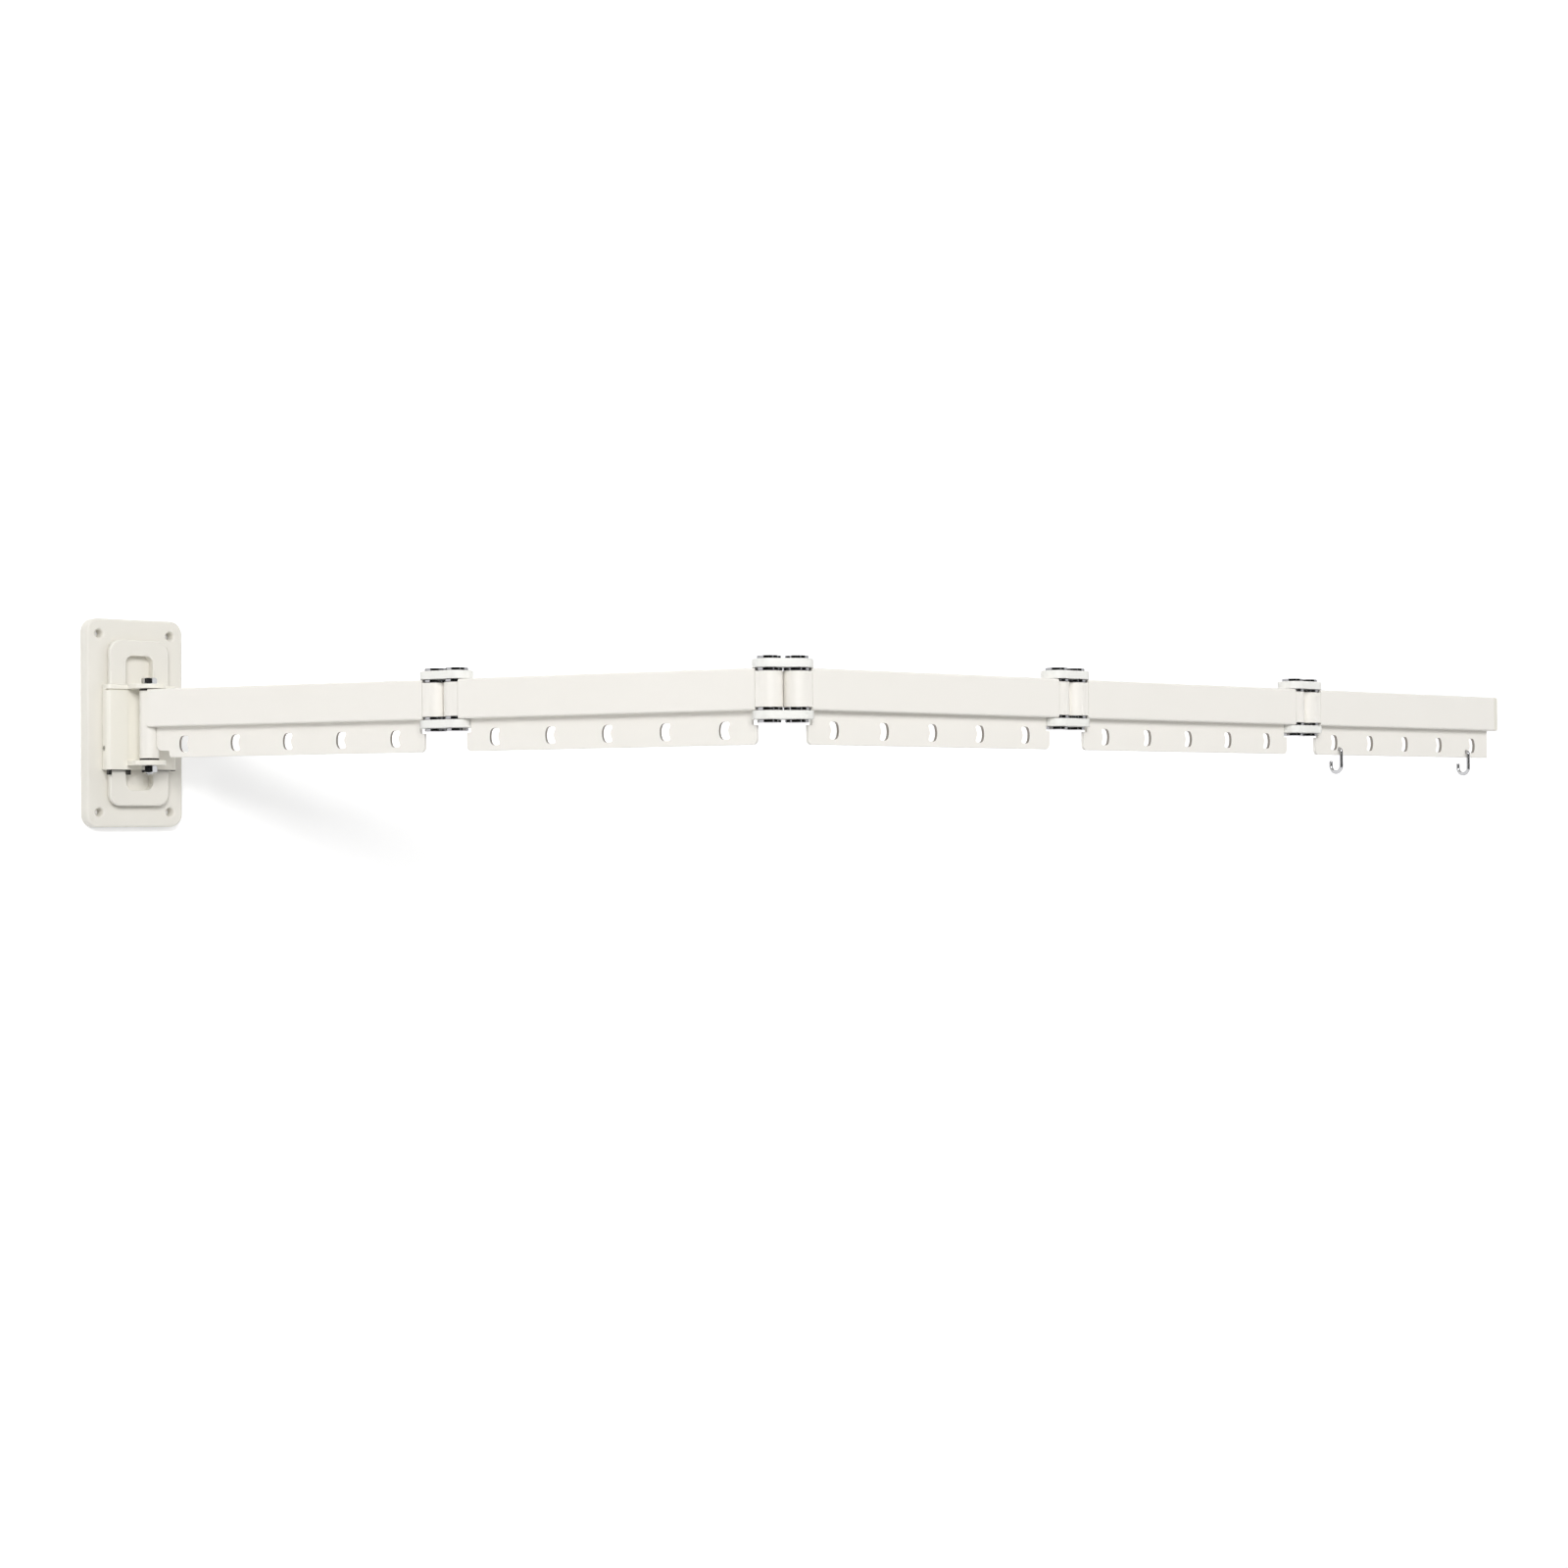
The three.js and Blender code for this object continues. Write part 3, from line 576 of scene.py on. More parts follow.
# %% [markdown]
# The clamp screw keeps its solid from the frame and gets a finish. Each sleeve slides on a thin black glide,
# whose rim shows below the casting as a dark line with a small tab at each end.

# %% Clamp screw and glides
clamp_screw = frame["nodes"]["clamp_screw"]
clamp_screw.data.materials.clear()
clamp_screw.data.materials.append(zinc_plate)

glide_inset = 0.8 * MM
glide_overhang = 1.6 * MM
glide_rim = 0.3 * MM
glide_left_tab = 3.8 * MM
glide_right_tab = 0.6 * MM
glide_tab_width = 2.6 * MM
glide_gap = 0.05 * MM
glide_edge = 0.15 * MM
glide_outer = carriage_half - glide_inset
glide_inner = rail_high.x - side_bar - glide_overhang
glide_front = sleeve_front + cast_edge
glide_middle = Vector((0, (glide_front + rail_gap) / 2, carriage_bottom - glide_gap))
for word, side, tab in (("left", -1, glide_left_tab), ("right", 1, glide_right_tab)):
    outline = [
        (glide_outer, 0), (glide_inner, 0), (glide_inner, -tab), (glide_inner + glide_tab_width, -tab),
        (glide_inner + glide_tab_width, -glide_rim), (glide_outer - glide_tab_width, -glide_rim),
        (glide_outer - glide_tab_width, -tab), (glide_outer, -tab),
    ]
    glide = across([(side * x, z) for x, z in outline], (rail_gap - glide_front) / 2)
    glide = moved(glide, Matrix.Translation(base + glide_middle))
    finished(glide, f"glide_{word}", "moulded", "carriage", glide_plastic, glide_edge)

# %% [markdown]
# The first arm turns on a hex bolt. Its head and nut are six-sided prisms whose corners are turned down by a
# chamfer, so each is the meeting of a prism and a turned disc. The tip below the nut carries a few thread
# ridges.

# %% Pivot bolt and nut
bolt_low, bolt_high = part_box("pivot_bolt")
nut_low, nut_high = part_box("pivot_nut")
across_flats = 10 * MM
hex_radius = across_flats / math.sqrt(3)
hex_turn = math.radians(57)
flat_radius = 5 * MM
chamfer_margin = 0.7 * MM
chamfer_slope = 0.6
bolt_head_rise = 4.4 * MM
bolt_edge = 0.2 * MM
thread_pitch = 1.0 * MM
thread_depth = 0.45 * MM


def hexagon(bottom, top):
    """Six-sided prism with both faces chamfered, on the Z axis."""
    prism = bmesh.new()
    place = Matrix.Translation((0, 0, (bottom + top) / 2)) @ Matrix.Rotation(hex_turn, 4, "Z")
    bmesh.ops.create_cone(prism, cap_ends=True, segments=6, radius1=hex_radius, radius2=hex_radius,
                          depth=top - bottom, matrix=place)
    wide = hex_radius + chamfer_margin
    fall = (wide - flat_radius) * chamfer_slope
    disc = turned([(0, bottom), (flat_radius, bottom), (wide, bottom + fall), (wide, top - fall),
                   (flat_radius, top), (0, top)])
    return combined(prism, [disc], "INTERSECT")


bolt_top = bolt_high.z - base.z
head_bottom = bolt_high.z - bolt_head_rise - base.z
tip_bottom = bolt_low.z - base.z
nut_bottom = nut_low.z - base.z
nut_top = nut_high.z - base.z
shank_profile = [(0, tip_bottom), (bolt_radius - thread_depth, tip_bottom)]
ridge = tip_bottom
while ridge < nut_bottom:
    shank_profile += [(bolt_radius, ridge + thread_pitch / 2),
                      (bolt_radius - thread_depth, ridge + thread_pitch)]
    ridge += thread_pitch
shank_profile += [(bolt_radius, ridge + thread_pitch / 2), (bolt_radius, head_bottom + overrun),
                  (0, head_bottom + overrun)]
bolt_shape = combined(hexagon(head_bottom, bolt_top), [turned(shank_profile, steps=48)], "UNION")
finished(moved(bolt_shape, at_bolt), "pivot_bolt", "hex", "carriage", chrome_plate, bolt_edge)
nut_bore = drum(bolt_radius + fit, nut_bottom - overrun, nut_top + overrun)
nut_shape = combined(hexagon(nut_bottom, nut_top), [nut_bore], "DIFFERENCE")
finished(moved(nut_shape, at_bolt), "pivot_nut", "hex", "carriage", chrome_plate, bolt_edge)

# %% [markdown]
# A washer is punched from sheet, which leaves its outer corners a little round: quarter ellipses in its
# turned profile. Two thin black ones sit between the ears and the first arm's barrel.

# %% Pivot washers
pivot_washer_edge = 0.3 * MM


def quarter(centre_radius, centre_level, radius_out, radius_up, steps):
    """Profile points of a quarter ellipse, from its outermost point up to its top."""
    angles = [math.pi / 2 * i / steps for i in range(steps + 1)]
    return [(centre_radius + radius_out * math.cos(a), centre_level + radius_up * math.sin(a))
            for a in angles]


def washer_shape(inner, outer, bottom, top, edge):
    """Flat ring with its outer corners rounded."""
    lower = quarter(outer - edge, -bottom - edge, edge, edge, steps=3)
    upper = quarter(outer - edge, top - edge, edge, edge, steps=3)
    profile = [(inner, bottom), (outer - edge, bottom), *[(r, -z) for r, z in reversed(lower)][1:]]
    return turned([*profile, *upper, (inner, top), (inner, bottom)])


for name in ("pivot_washer_top", "pivot_washer_bottom"):
    low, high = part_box(name)
    shape = washer_shape(bolt_radius + fit, (high.x - low.x) / 2, low.z - base.z, high.z - base.z,
                         pivot_washer_edge)
    finished(moved(shape, at_bolt), name, "ring", "carriage", black_steel)

# %% [markdown]
# All arms are cut from one extruded profile: a flat tube with a strip below its middle. The section is made
# of a block and a strip whose long edges are rounded, and the hollow, the hanger holes and the ends are cut
# after that. An arm is made along X from its near pivot and then turned to its heading.

# %% Arm profile
tube_half = (tube_high.y - tube_low.y) / 2
tube_wall = 1.5 * MM
tube_corner = 1.6 * MM
strip_bottom = tube_low.z - base.z
strip_half = 1.25 * MM
strip_edge = 0.5 * MM
arm_pitch = (pivot("hinge_3_inner") - pivot("hinge_2_outer")).length


def profile_length(start, end):
    """Tube and strip between two distances from the pivot."""
    tube = slab((start, -tube_half, -tube_top), (end, tube_half, tube_top), X, tube_corner, segments=6)
    hollow = slab((start - overrun, -tube_half + tube_wall, -tube_top + tube_wall),
                  (end + overrun, tube_half - tube_wall, tube_top - tube_wall),
                  X, tube_corner / 2, segments=4)
    strip = block((start, -strip_half, strip_bottom), (end, strip_half, -tube_top + tube_wall / 2))
    lower_edges = [edge for edge in edges_along(strip, X) if edge.verts[0].co.z < -tube_top]
    rounded(strip, lower_edges, strip_edge, segments=4)
    return combined(combined(tube, [strip], "UNION"), [hollow], "DIFFERENCE")


print("arm from pivot to pivot", round(arm_pitch / MM, 1), "mm")

# %% [markdown]
# A hanger hole is a kidney: a rounded slot with one side pressed in at half its height, so that a hook finds
# a resting place above and below the dip. One formula gives its outline, which is a face that is pushed
# through.

# %% Hanger holes
hole_level = -27.4 * MM
hole_offset = 32.4 * MM
hole_pitch = 46.1 * MM
hole_count = 5
hole_half_width = 4.1 * MM
hole_half_height = 6.1 * MM
hole_margin = 0.1 * MM
hole_points = 56
dip_share = 0.6
dip_power = 4
round_power = 0.55
side_facing = 0.5


def kidney(dip_side):
    """Outline of a hanger hole in X and Z, its dip towards the given side."""
    points = []
    for i in range(hole_points):
        angle = 2 * math.pi * (i + 0.5) / hole_points
        breadth = abs(math.cos(angle))
        side = math.copysign(1, math.cos(angle))
        dip = dip_share * breadth ** dip_power if side > 0 else 0
        points.append((side * breadth ** round_power - dip, math.sin(angle)))
    low, high = min(x for x, z in points), max(x for x, z in points)
    middle, half = (low + high) / 2, (high - low) / 2
    return [(dip_side * (x - middle) / half * hole_half_width, z * hole_half_height) for x, z in points]


def is_hole_wall(face):
    """Whether a face of an arm in its own space is the punched wall of a hole."""
    spot = face.calc_center_median()
    nearest = round((spot.x - hole_offset) / hole_pitch) * hole_pitch + hole_offset
    beside = abs(spot.x - nearest) < hole_half_width + hole_margin
    level_with = abs(spot.z - hole_level) < hole_half_height + hole_margin
    return beside and level_with and abs(face.normal.y) < side_facing and abs(spot.y) < strip_half


print("hanger hole", round(2 * hole_half_width / MM, 1), "by", round(2 * hole_half_height / MM, 1), "mm")

# %% [markdown]
# At a hinge the strip ends in a round corner, with a notch above it that clears the lower link plate, and
# the tube's walls are coped, which means cut round, to clear the washers and the barrel. The first arm's
# near end has a round corner and a step beside its barrel instead. All the cuts are outlines or drums.

# %% Ends of the arms
tube_setback = 6.5 * MM
base_tube_start = 4.5 * MM
strip_setback = 9 * MM
strip_corner = 3.5 * MM
notch_setback = 12.4 * MM
notch_level = -24 * MM
base_corner = 5 * MM
base_step = 19.2 * MM
base_step_rise = 5.2 * MM
base_fillet = 1.5 * MM
base_step_corner = 2.8 * MM
base_barrel_radius = 7.2 * MM
washer_radius = 9.2 * MM
wire_radius = 1.5 * MM
below_strip = strip_bottom - overrun


def hinge_end_cut():
    """What is cut from the strip beside a hinge, with the pivot at zero."""
    outline = [(-overrun, below_strip), (strip_setback + strip_corner, below_strip)]
    outline += arc(strip_setback + strip_corner, strip_bottom + strip_corner, strip_corner,
                   0.75, 0.5, steps=8)
    outline += [(strip_setback, notch_level), (notch_setback, notch_level), (notch_setback, -tube_top),
                (-overrun, -tube_top)]
    return across(outline, tube_half)


def base_end_cut():
    """What is cut from the first arm's strip beside its barrel: a round corner and a step down."""
    step = strip_bottom + base_step_rise
    start = base_barrel_radius + slide_gap
    outline = [(-overrun, below_strip), (base_step + base_step_corner, below_strip)]
    outline += arc(base_step + base_step_corner, strip_bottom + base_step_corner, base_step_corner,
                   0.75, 0.5, steps=8)
    outline += arc(base_step - base_fillet, step - base_fillet, base_fillet, 0, 0.25, steps=6)
    outline += arc(start + base_corner, step + base_corner, base_corner, 0.75, 0.5, steps=10)
    outline += [(start, -tube_top), (-overrun, -tube_top)]
    return across(outline, tube_half)


def cope(radius):
    """Cylinder that clears the top and bottom walls round a pivot."""
    return drum(radius + fit, -tube_top - overrun / 2, tube_top + overrun / 2)


def hook_hole(number):
    """Bore for one hook in the last arm's strip."""
    place = pivot(f"hook_{number}_swing") - pivot("hinge_4_outer")
    bore = drum(wire_radius + fit, -tube_half, tube_half, steps=32)
    return moved(bore, Matrix.Translation((place.x, 0, place.z)) @ Matrix.Rotation(math.pi / 2, 4, "X"))


print("strip set back by", round(strip_setback / MM, 1), "mm at a hinge")

# %% [markdown]
# With profile, holes and ends at hand, five arms are one loop. The dips of the holes face the free end of
# the chain in the first two arms and its wall end in the others, because the same extrusion can be fitted
# either way round. The walls of the holes get the bare metal, darkened as painted shade, which is a second
# material of the same mesh.

# %% Arms
arm_edge = 0.3 * MM
last_arm = 5
turned_over = (1, 2)
arm_starts = {number: f"hinge_{number - 1}_outer" for number in range(2, last_arm + 1)}
arm_starts[1] = "arm_1_swing"
arm_lines = {number: (arm_starts[number], f"hinge_{number}_inner") for number in range(1, last_arm)}
arm_lines[last_arm] = ("hook_1_swing", "hook_2_swing")
last_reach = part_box("arm_5")[1].x - pivot("hinge_4_outer").x
far_end = Matrix.Translation((arm_pitch, 0, 0)) @ Matrix.Rotation(math.pi, 4, "Z")


def heading_between(start, end):
    """Angle of the level line between two joints."""
    line = pivot(end) - pivot(start)
    return math.atan2(line.y, line.x)


def arm_place(number):
    """Matrix from an arm's own space, with its near pivot at zero, to the frame."""
    heading = heading_between(*arm_lines[number])
    return Matrix.Translation(pivot(arm_starts[number])) @ Matrix.Rotation(heading, 4, "Z")


def arm_shape(number):
    """One arm profile, cut to length, with its holes and ends."""
    end = last_reach if number == last_arm else arm_pitch - tube_setback
    if number == 1:
        shape = profile_length(base_tube_start, end)
        cuts = [cope(base_barrel_radius), base_end_cut()]
    else:
        shape = profile_length(tube_setback, end)
        cuts = [cope(washer_radius), hinge_end_cut()]
    if number < last_arm:
        cuts += [moved(cope(washer_radius), far_end), moved(hinge_end_cut(), far_end)]
    else:
        cuts += [hook_hole(1), hook_hole(2)]
    outline = kidney(1 if number in turned_over else -1)
    for i in range(hole_count):
        hole = across(outline, strip_half + overrun)
        cuts.append(moved(hole, Matrix.Translation((hole_offset + i * hole_pitch, 0, hole_level))))
    shape = combined(shape, cuts, "DIFFERENCE")
    # The hole walls take the second material: bare metal, darkened as painted shade.
    for face in shape.faces:
        face.material_index = int(is_hole_wall(face))
    return shape


for number in range(1, last_arm + 1):
    shape = moved(arm_shape(number), arm_place(number))
    made = finished(shape, f"arm_{number}", "profile", f"arm_{number}", arm_coat, arm_edge)
    made.data.materials.append(bare_wall_and_painted_shade)

# %% [markdown]
# Each arm end at a hinge is a barrel with a neck as thick as the tube, and a plug that is pressed inside.
# Barrel and neck are one casting, so they are joined before their edges are softened. The barrels are drawn
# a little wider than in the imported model: the two of a hinge then nearly touch, and the gap between them
# reads as a dark line.

# %% Knuckles
barrel_radius = 9.4 * MM
barrel_half = 12.2 * MM
plug_half = 7.2 * MM
plug_end = 36 * MM
rivet_bore = 4.3 * MM
knuckle_edge = 0.5 * MM


def knuckle_shape():
    """Barrel, neck and plug with the pivot at zero, the plug towards +X."""
    barrel = drum(barrel_radius, -barrel_half, barrel_half, steps=96)
    neck_end = tube_setback - fit
    neck = block((0, -tube_half, -barrel_half), (neck_end, tube_half, barrel_half))
    plug = block((neck_end - overrun, -plug_half, -barrel_half), (plug_end, plug_half, barrel_half))
    bore = drum(rivet_bore, -2 * barrel_half, 2 * barrel_half)
    return combined(combined(barrel, [neck, plug], "UNION"), [bore], "DIFFERENCE")


knuckle_ends = [(number, side) for number in range(1, last_arm + 1) for side in ("inner", "outer")][1:-1]
for number, side in knuckle_ends:
    place = arm_place(number) @ far_end if side == "outer" else arm_place(number)
    finished(moved(knuckle_shape(), place), f"knuckle_{number}_{side}", "cast", f"arm_{number}",
             arm_coat, knuckle_edge)

# %% [markdown]
# The first arm ends at the bolt in a taller, thinner barrel. It is joined to a short plug and bored in the
# same way as the knuckles.

# %% Base knuckle
base_plug_end = 30 * MM
base_edge = 0.4 * MM
barrel_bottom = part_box("base_knuckle")[0].z - base.z
barrel_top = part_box("base_knuckle")[1].z - base.z

base_barrel = drum(base_barrel_radius, barrel_bottom, barrel_top, steps=96)
base_plug = block((0, -plug_half, -barrel_half), (base_plug_end, plug_half, barrel_half))
base_bore = drum(bolt_radius + fit, barrel_bottom - overrun, barrel_top + overrun)
base_shape = combined(combined(base_barrel, [base_plug], "UNION"), [base_bore], "DIFFERENCE")
finished(moved(base_shape, arm_place(1)), "base_knuckle", "cast", "arm_1", arm_coat, base_edge)

# %% [markdown]
# A hinge is a pair of thick plates with round ends, above and below two barrels, held by rivets with domed
# heads. A box whose upright edges are bevelled by almost half its width becomes such a plate in one step. A
# rivet is turned from one profile, half of it mirrored: a short chamfer at the seat, a tall rim and a dome.

# %% Links, rivets and washers
link_bottom = 14.6 * MM
link_top = 20.6 * MM
link_radius = 11.55 * MM
link_round_share = 0.99
link_roll = 0.9 * MM
link_edge = 0.3 * MM
link_pitch = (pivot("hinge_1_outer") - pivot("hinge_1_inner")).length
rivet_radius = 4 * MM
rivet_head = 8.2 * MM
rivet_seat = 20.9 * MM
rivet_rim = 1.65 * MM
rivet_chamfer = 0.1 * MM
rivet_top = 22.9 * MM
washer_bottom = 12.5 * MM
washer_top = 14.3 * MM
washer_edge = 0.15 * MM


def link_plate(side):
    """Upper or lower plate of a link, its first pivot at zero."""
    plate = slab((-link_radius, -link_radius, link_bottom),
                 (link_pitch + link_radius, link_radius, link_top),
                 Z, link_radius * link_round_share, segments=24)
    rounded(plate, edges_at(plate, Z, link_top), link_roll, segments=5)
    bores = [moved(drum(rivet_bore, 0, 2 * link_top), Matrix.Translation((x, 0, 0)))
             for x in (0, link_pitch)]
    return moved(combined(plate, bores, "DIFFERENCE"), Matrix.Diagonal((1, 1, side, 1)))


def rivet_shape():
    """Rivet with a low domed head at both ends."""
    upper = [(rivet_radius, rivet_seat), (rivet_head - rivet_chamfer, rivet_seat),
             (rivet_head, rivet_seat + rivet_chamfer)]
    upper += quarter(0, rivet_seat + rivet_rim, rivet_head, rivet_top - rivet_seat - rivet_rim, steps=10)
    upper[-1] = (0, rivet_top)
    lower = [(radius, -z) for radius, z in reversed(upper)]
    return turned(lower + upper, steps=72)


def link_place(number):
    """Matrix from a link's own space, with its inner pivot at zero, to the frame."""
    heading = heading_between(f"hinge_{number}_inner", f"hinge_{number}_outer")
    return Matrix.Translation(pivot(f"hinge_{number}_inner")) @ Matrix.Rotation(heading, 4, "Z")


for number in range(1, last_arm):
    body = f"link_{number}"
    place = link_place(number)
    for word, side in (("top", 1), ("bottom", -1)):
        plate = moved(link_plate(side), place)
        finished(plate, f"link_{number}_{word}", "plate", body, link_coat, link_edge)
    for letter, x in (("a", 0), ("b", link_pitch)):
        spot = place @ Matrix.Translation((x, 0, 0))
        rivet = moved(rivet_shape(), spot)
        finished(rivet, f"rivet_{number}_{letter}", "domed", body, rivet_nickel)
        for word, low, high in (("top", washer_bottom, washer_top), ("bottom", -washer_top, -washer_bottom)):
            ring = moved(washer_shape(rivet_bore, washer_radius, low, high, washer_edge), spot)
            finished(ring, f"washer_{number}_{letter}_{word}", "ring", body, rivet_nickel)

# %% [markdown]
# The cap is a plastic plug with a flange as large as the tube, its rim rounded so that nothing scratches.

# %% End cap
cap_low, cap_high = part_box("end_cap")
cap_roll = 1.0 * MM
cap_edge = 0.2 * MM
insert_overlap = 0.2 * MM
last_pivot = pivot("hinge_4_outer")
cap_start = last_reach + fit
cap_end = cap_high.x - last_pivot.x
insert_top = tube_top - tube_wall - fit
flange = slab((cap_start, -tube_half, -tube_top), (cap_end, tube_half, tube_top), X, tube_corner, segments=6)
rounded(flange, edges_at(flange, X, cap_end), cap_roll, segments=5)
insert = block((cap_low.x - last_pivot.x, -plug_half, -insert_top),
               (cap_start + insert_overlap, plug_half, insert_top))
cap_shape = moved(combined(flange, [insert], "UNION"), arm_place(last_arm))
finished(cap_shape, "end_cap", "moulded", f"arm_{last_arm}", cap_plastic, cap_edge)

# %% [markdown]
# A hook is one piece of drawn wire. A circle of points is carried along its way: bends are spins round their
# centres and straights are extrusions, so the wire keeps its thickness all the way. The two cut ends are
# rounded.

# %% Hooks
top_bend = 2 * MM
shank_offset = strip_half + fit + wire_radius
bowl_radius = 5.25 * MM
hook_drop = 18.75 * MM
bowl_level = -hook_drop + bowl_radius
tip_rise = 9.3 * MM
back_leg = 4.4 * MM
end_round_share = 0.6
steps_per_radian = 10


def bend(bm, ring, y, z, angle):
    """Spins the wire's last ring of edges round a centre and gives the new last ring."""
    verts = {vert for edge in ring for vert in edge.verts}
    spun = bmesh.ops.spin(bm, geom=[*verts, *ring], cent=(0, y, z), axis=(1, 0, 0), dvec=(0, 0, 0),
                          angle=angle, steps=int(angle * steps_per_radian), use_merge=False,
                          use_duplicate=False)
    return [item for item in spun["geom_last"] if isinstance(item, bmesh.types.BMEdge)]


def straight(bm, ring, y, z):
    """Extrudes the wire's last ring of edges along a straight way and gives the new last ring."""
    grown = bmesh.ops.extrude_edge_only(bm, edges=ring)["geom"]
    verts = [item for item in grown if isinstance(item, bmesh.types.BMVert)]
    bmesh.ops.translate(bm, verts=verts, vec=(0, y, z))
    return [edge for edge in grown if isinstance(edge, bmesh.types.BMEdge)
            and all(vert in verts for vert in edge.verts)]


def hook_shape():
    """Bent wire in the plane X = 0, its top run along Y through zero."""
    bm = bmesh.new()
    start = Matrix.Translation((0, shank_offset, -back_leg))
    bmesh.ops.create_circle(bm, cap_ends=False, radius=wire_radius, segments=24, matrix=start)
    first = list(bm.edges)
    ring = straight(bm, first, 0, back_leg - top_bend)
    ring = bend(bm, ring, shank_offset - top_bend, -top_bend, math.pi / 2)
    ring = straight(bm, ring, 2 * (top_bend - shank_offset), 0)
    ring = bend(bm, ring, top_bend - shank_offset, -top_bend, math.pi / 2)
    ring = straight(bm, ring, 0, bowl_level + top_bend)
    ring = bend(bm, ring, bowl_radius - shank_offset, bowl_level, math.pi)
    ring = straight(bm, ring, 0, tip_rise - bowl_radius)
    for rim in (first, ring):
        face = bmesh.ops.contextual_create(bm, geom=rim)["faces"]
        rounded(bm, list(face[0].edges), wire_radius * end_round_share, segments=4)
    return bm


for hook in ("hook_1", "hook_2"):
    place = Matrix.Translation(pivot(hook + "_swing"))
    finished(moved(hook_shape(), place), hook, "wire", hook, wire_nickel)

# %% [markdown]
# The studio is a pale room. Wall and floor are white paint, and for camera, glossy and transmission rays a
# faint glow is added: it lifts the lit parts to white and leaves the shadow close under the plate dark. The
# wall is one-sided, so the rack can be seen from behind as well.

# %% Studio wall and floor
wall_glow = 0.35
floor_glow = 0.7
seen_white = "#fdfdfd"
reach = 6.0
floor_level = -1.5
wall_gap = 0.5 * MM


def looked_at(owner):
    """Output that is 1 for rays from the camera, from gloss and through glass, and 0 for the rest."""
    path = add(owner, "ShaderNodeLightPath")
    seen = path.outputs["Is Camera Ray"]
    for kind in ("Is Glossy Ray", "Is Transmission Ray"):
        either = add(owner, "ShaderNodeMath", {0: seen, 1: path.outputs[kind]}, operation="MAXIMUM")
        seen = either.outputs["Value"]
    return seen


def pale_stage(name, glow, shade):
    """Painted surface with a glow that only looks see, and clear from behind."""
    material = blank_material(name)
    seen = add(material, "ShaderNodeMath", {0: looked_at(material)}, operation="MULTIPLY")
    seen.inputs[1].default_value = glow
    paint = add(material, "ShaderNodeBsdfDiffuse", Color=linear(shade))
    lift = add(material, "ShaderNodeEmission", {"Strength": seen.outputs["Value"]}, Color=linear(seen_white))
    front = add(material, "ShaderNodeAddShader", {0: paint.outputs["BSDF"], 1: lift.outputs["Emission"]})
    side = add(material, "ShaderNodeNewGeometry")
    clear = add(material, "ShaderNodeBsdfTransparent")
    both = add(material, "ShaderNodeMixShader", {0: side.outputs["Backfacing"], 1: front.outputs["Shader"],
                                                 2: clear.outputs["BSDF"]})
    add(material, "ShaderNodeOutputMaterial", {"Surface": both.outputs["Shader"]})
    return material


def stage_plane(name, corners, material):
    """Flat stage piece between four corners."""
    bm = bmesh.new()
    bm.faces.new([bm.verts.new(corner) for corner in corners])
    mesh = bpy.data.meshes.new(name)
    bm.to_mesh(mesh)
    bm.free()
    mesh.materials.append(material)
    made = bpy.data.objects.new(name, mesh)
    scene.collection.objects.link(made)
    print("stage piece", name)
    return made


backdrop = pale_stage("pale_backdrop", wall_glow, "#fafafa")
ground = pale_stage("pale_floor", floor_glow, "#c4c4c4")
stage_plane("backdrop", [(-reach, wall_gap, floor_level), (reach, wall_gap, floor_level),
                         (reach, wall_gap, reach), (-reach, wall_gap, reach)], backdrop)
stage_plane("floor", [(-reach, -reach, floor_level), (reach, -reach, floor_level),
                      (reach, wall_gap, floor_level), (-reach, wall_gap, floor_level)], ground)

# %% [markdown]
# Bright metal looks like metal only when it has something dark to mirror. Two tall dark cards stand on the
# floor, one behind the camera and one to its right, and glossy rays alone see them, so they take no light
# from the rest. Each one spans two headings round a point on the rack, at a distance in metres.

# %% Dark cards
card_height = 7.0
card_black = blank_material("matt_black_card")
card_paint = add(card_black, "ShaderNodeBsdfDiffuse", Color=linear("#161616"))
add(card_black, "ShaderNodeOutputMaterial", {"Surface": card_paint.outputs["BSDF"]})


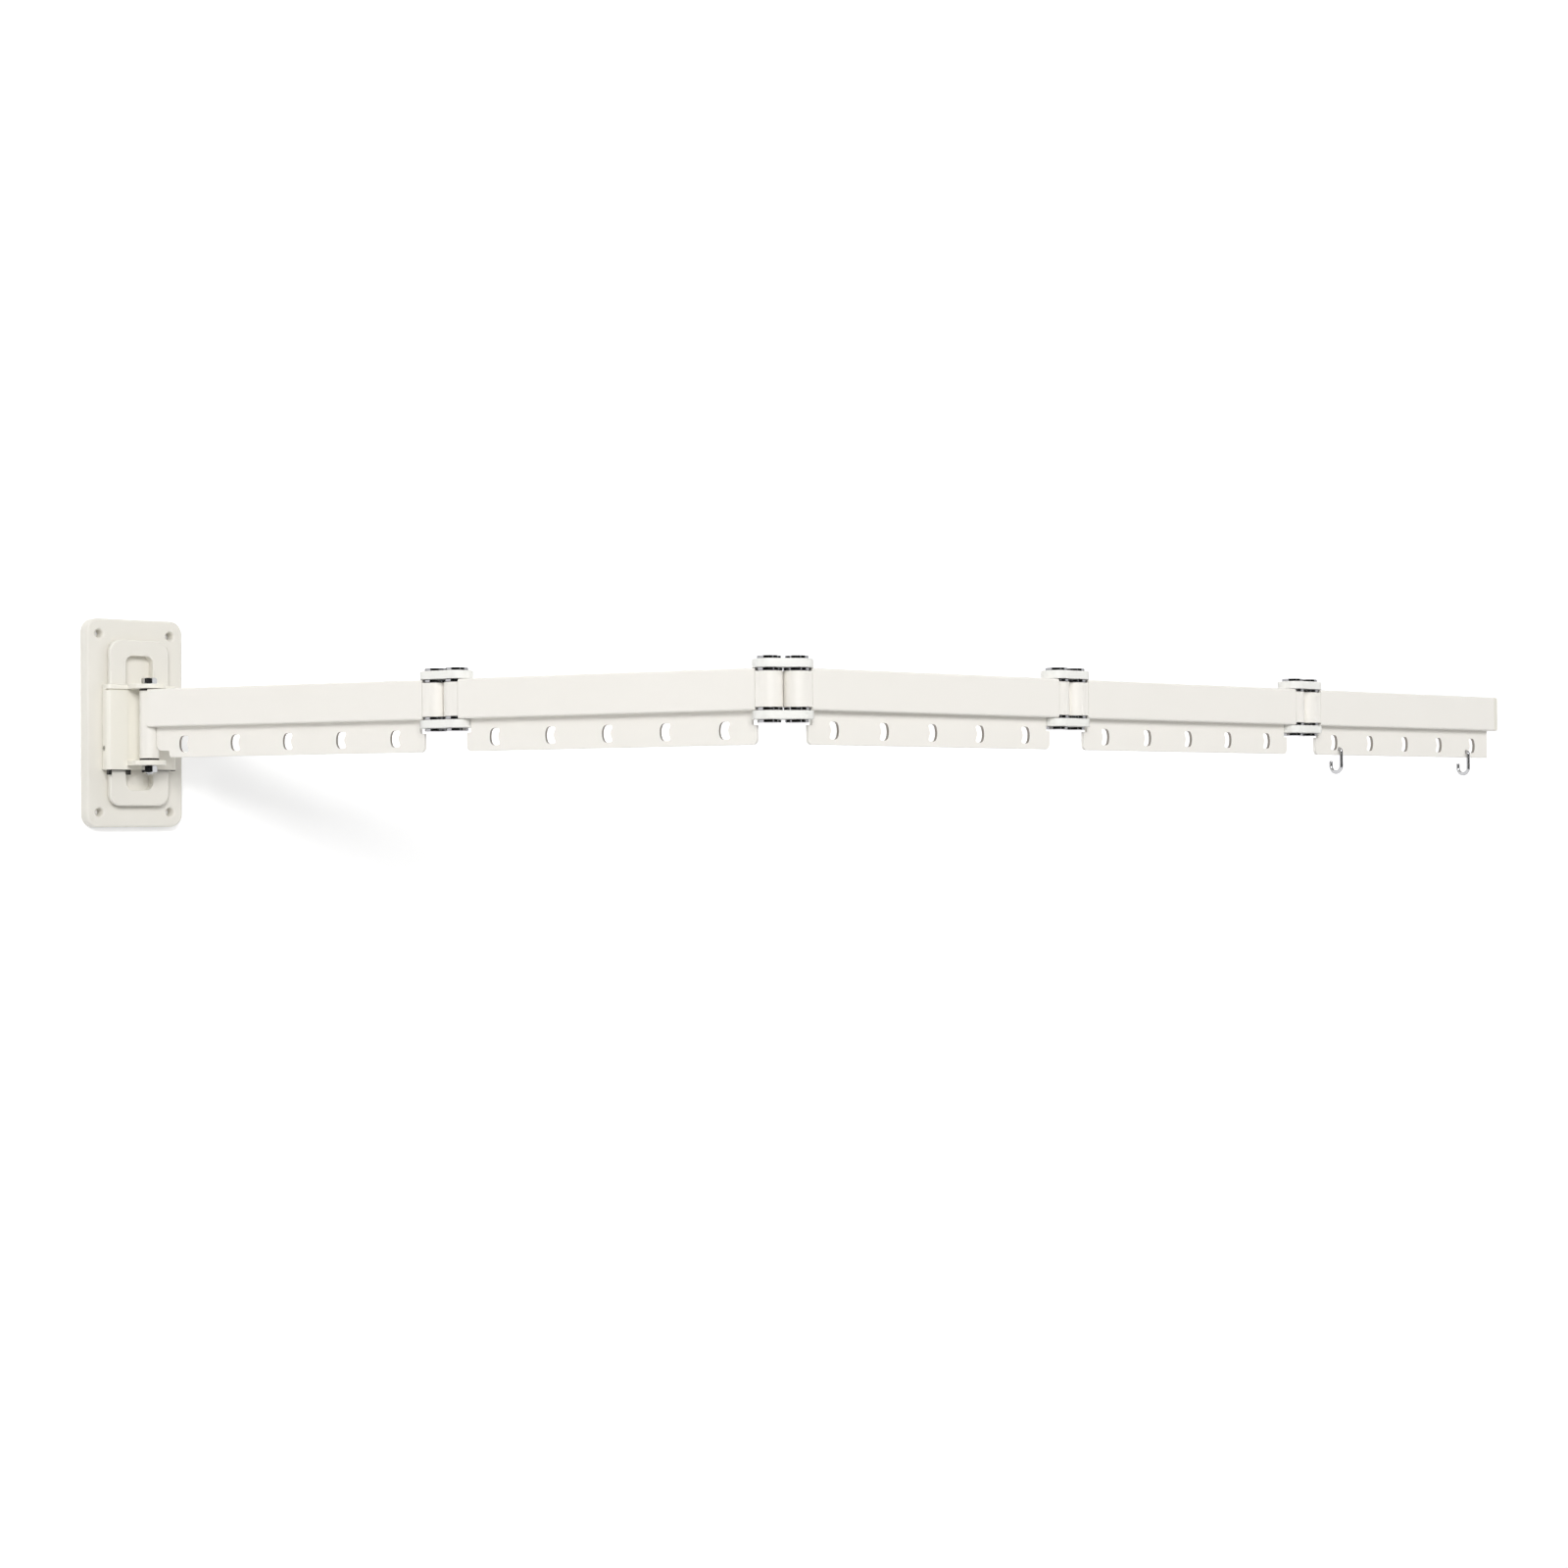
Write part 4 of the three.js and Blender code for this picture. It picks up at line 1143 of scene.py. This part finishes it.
def dark_card(name, centre, distance, from_degrees, to_degrees):
    """Upright card that only glossy rays see, its foot on the floor and in front of the wall."""
    foot = []
    for heading in (math.radians(from_degrees), math.radians(to_degrees)):
        corner = centre + distance * Vector((math.cos(heading), math.sin(heading), 0))
        foot.append(Vector((corner.x, min(corner.y, -overrun), floor_level + overrun)))
    top = [corner + Vector((0, 0, card_height)) for corner in foot]
    card = stage_plane(name, [foot[0], foot[1], top[1], top[0]], card_black)
    card.visible_camera = False
    card.visible_diffuse = False
    card.visible_transmission = False
    card.visible_shadow = False


dark_card("dark_card_left", base, distance=8.0, from_degrees=172, to_degrees=268)
dark_card("dark_card_right", pivot("hook_1_swing"), distance=4.0, from_degrees=264, to_degrees=312)

# %% [markdown]
# The light is soft, as under a large diffuser. The air of the studio lights everything evenly but is seen as
# white, a broad key lamp stands high on the camera's side, and a weak fill lamp opens the shadows from the
# right without a reflection of its own.

# %% Air and lamps
air_strength = 0.365

world = bpy.data.worlds.new("studio_air")
world.use_nodes = True
world.node_tree.nodes.clear()
scene.world = world
air = add(world, "ShaderNodeBackground", Color=linear("#ffffff"), Strength=air_strength)
white = add(world, "ShaderNodeBackground", Color=linear(seen_white))
air_mix = add(world, "ShaderNodeMixShader", {0: looked_at(world), 1: air.outputs["Background"],
                                             2: white.outputs["Background"]})
add(world, "ShaderNodeOutputWorld", {"Surface": air_mix.outputs["Shader"]})


def soft_lamp(name, place, target, width, height, power):
    """Rectangular soft light that looks at a point."""
    data = bpy.data.lights.new(name, "AREA")
    data.shape = "RECTANGLE"
    data.size = width
    data.size_y = height
    data.energy = power
    lamp = bpy.data.objects.new(name, data)
    aim = (Vector(target) - Vector(place)).to_track_quat("-Z", "Y").to_matrix().to_4x4()
    lamp.matrix_world = Matrix.Translation(place) @ aim
    scene.collection.objects.link(lamp)
    print(name, "of", power, "watts")
    return lamp


soft_lamp("key_lamp", place=(-1.9, -3.95, 1.55), target=(0.2, -0.2, 0.0), width=2.4, height=1.4, power=128)
fill_lamp = soft_lamp("fill_lamp", place=(2.6, -3.2, 0.8), target=(0.5, -0.4, 0.0), width=1.6, height=1.2,
                      power=19)
fill_lamp.visible_glossy = False
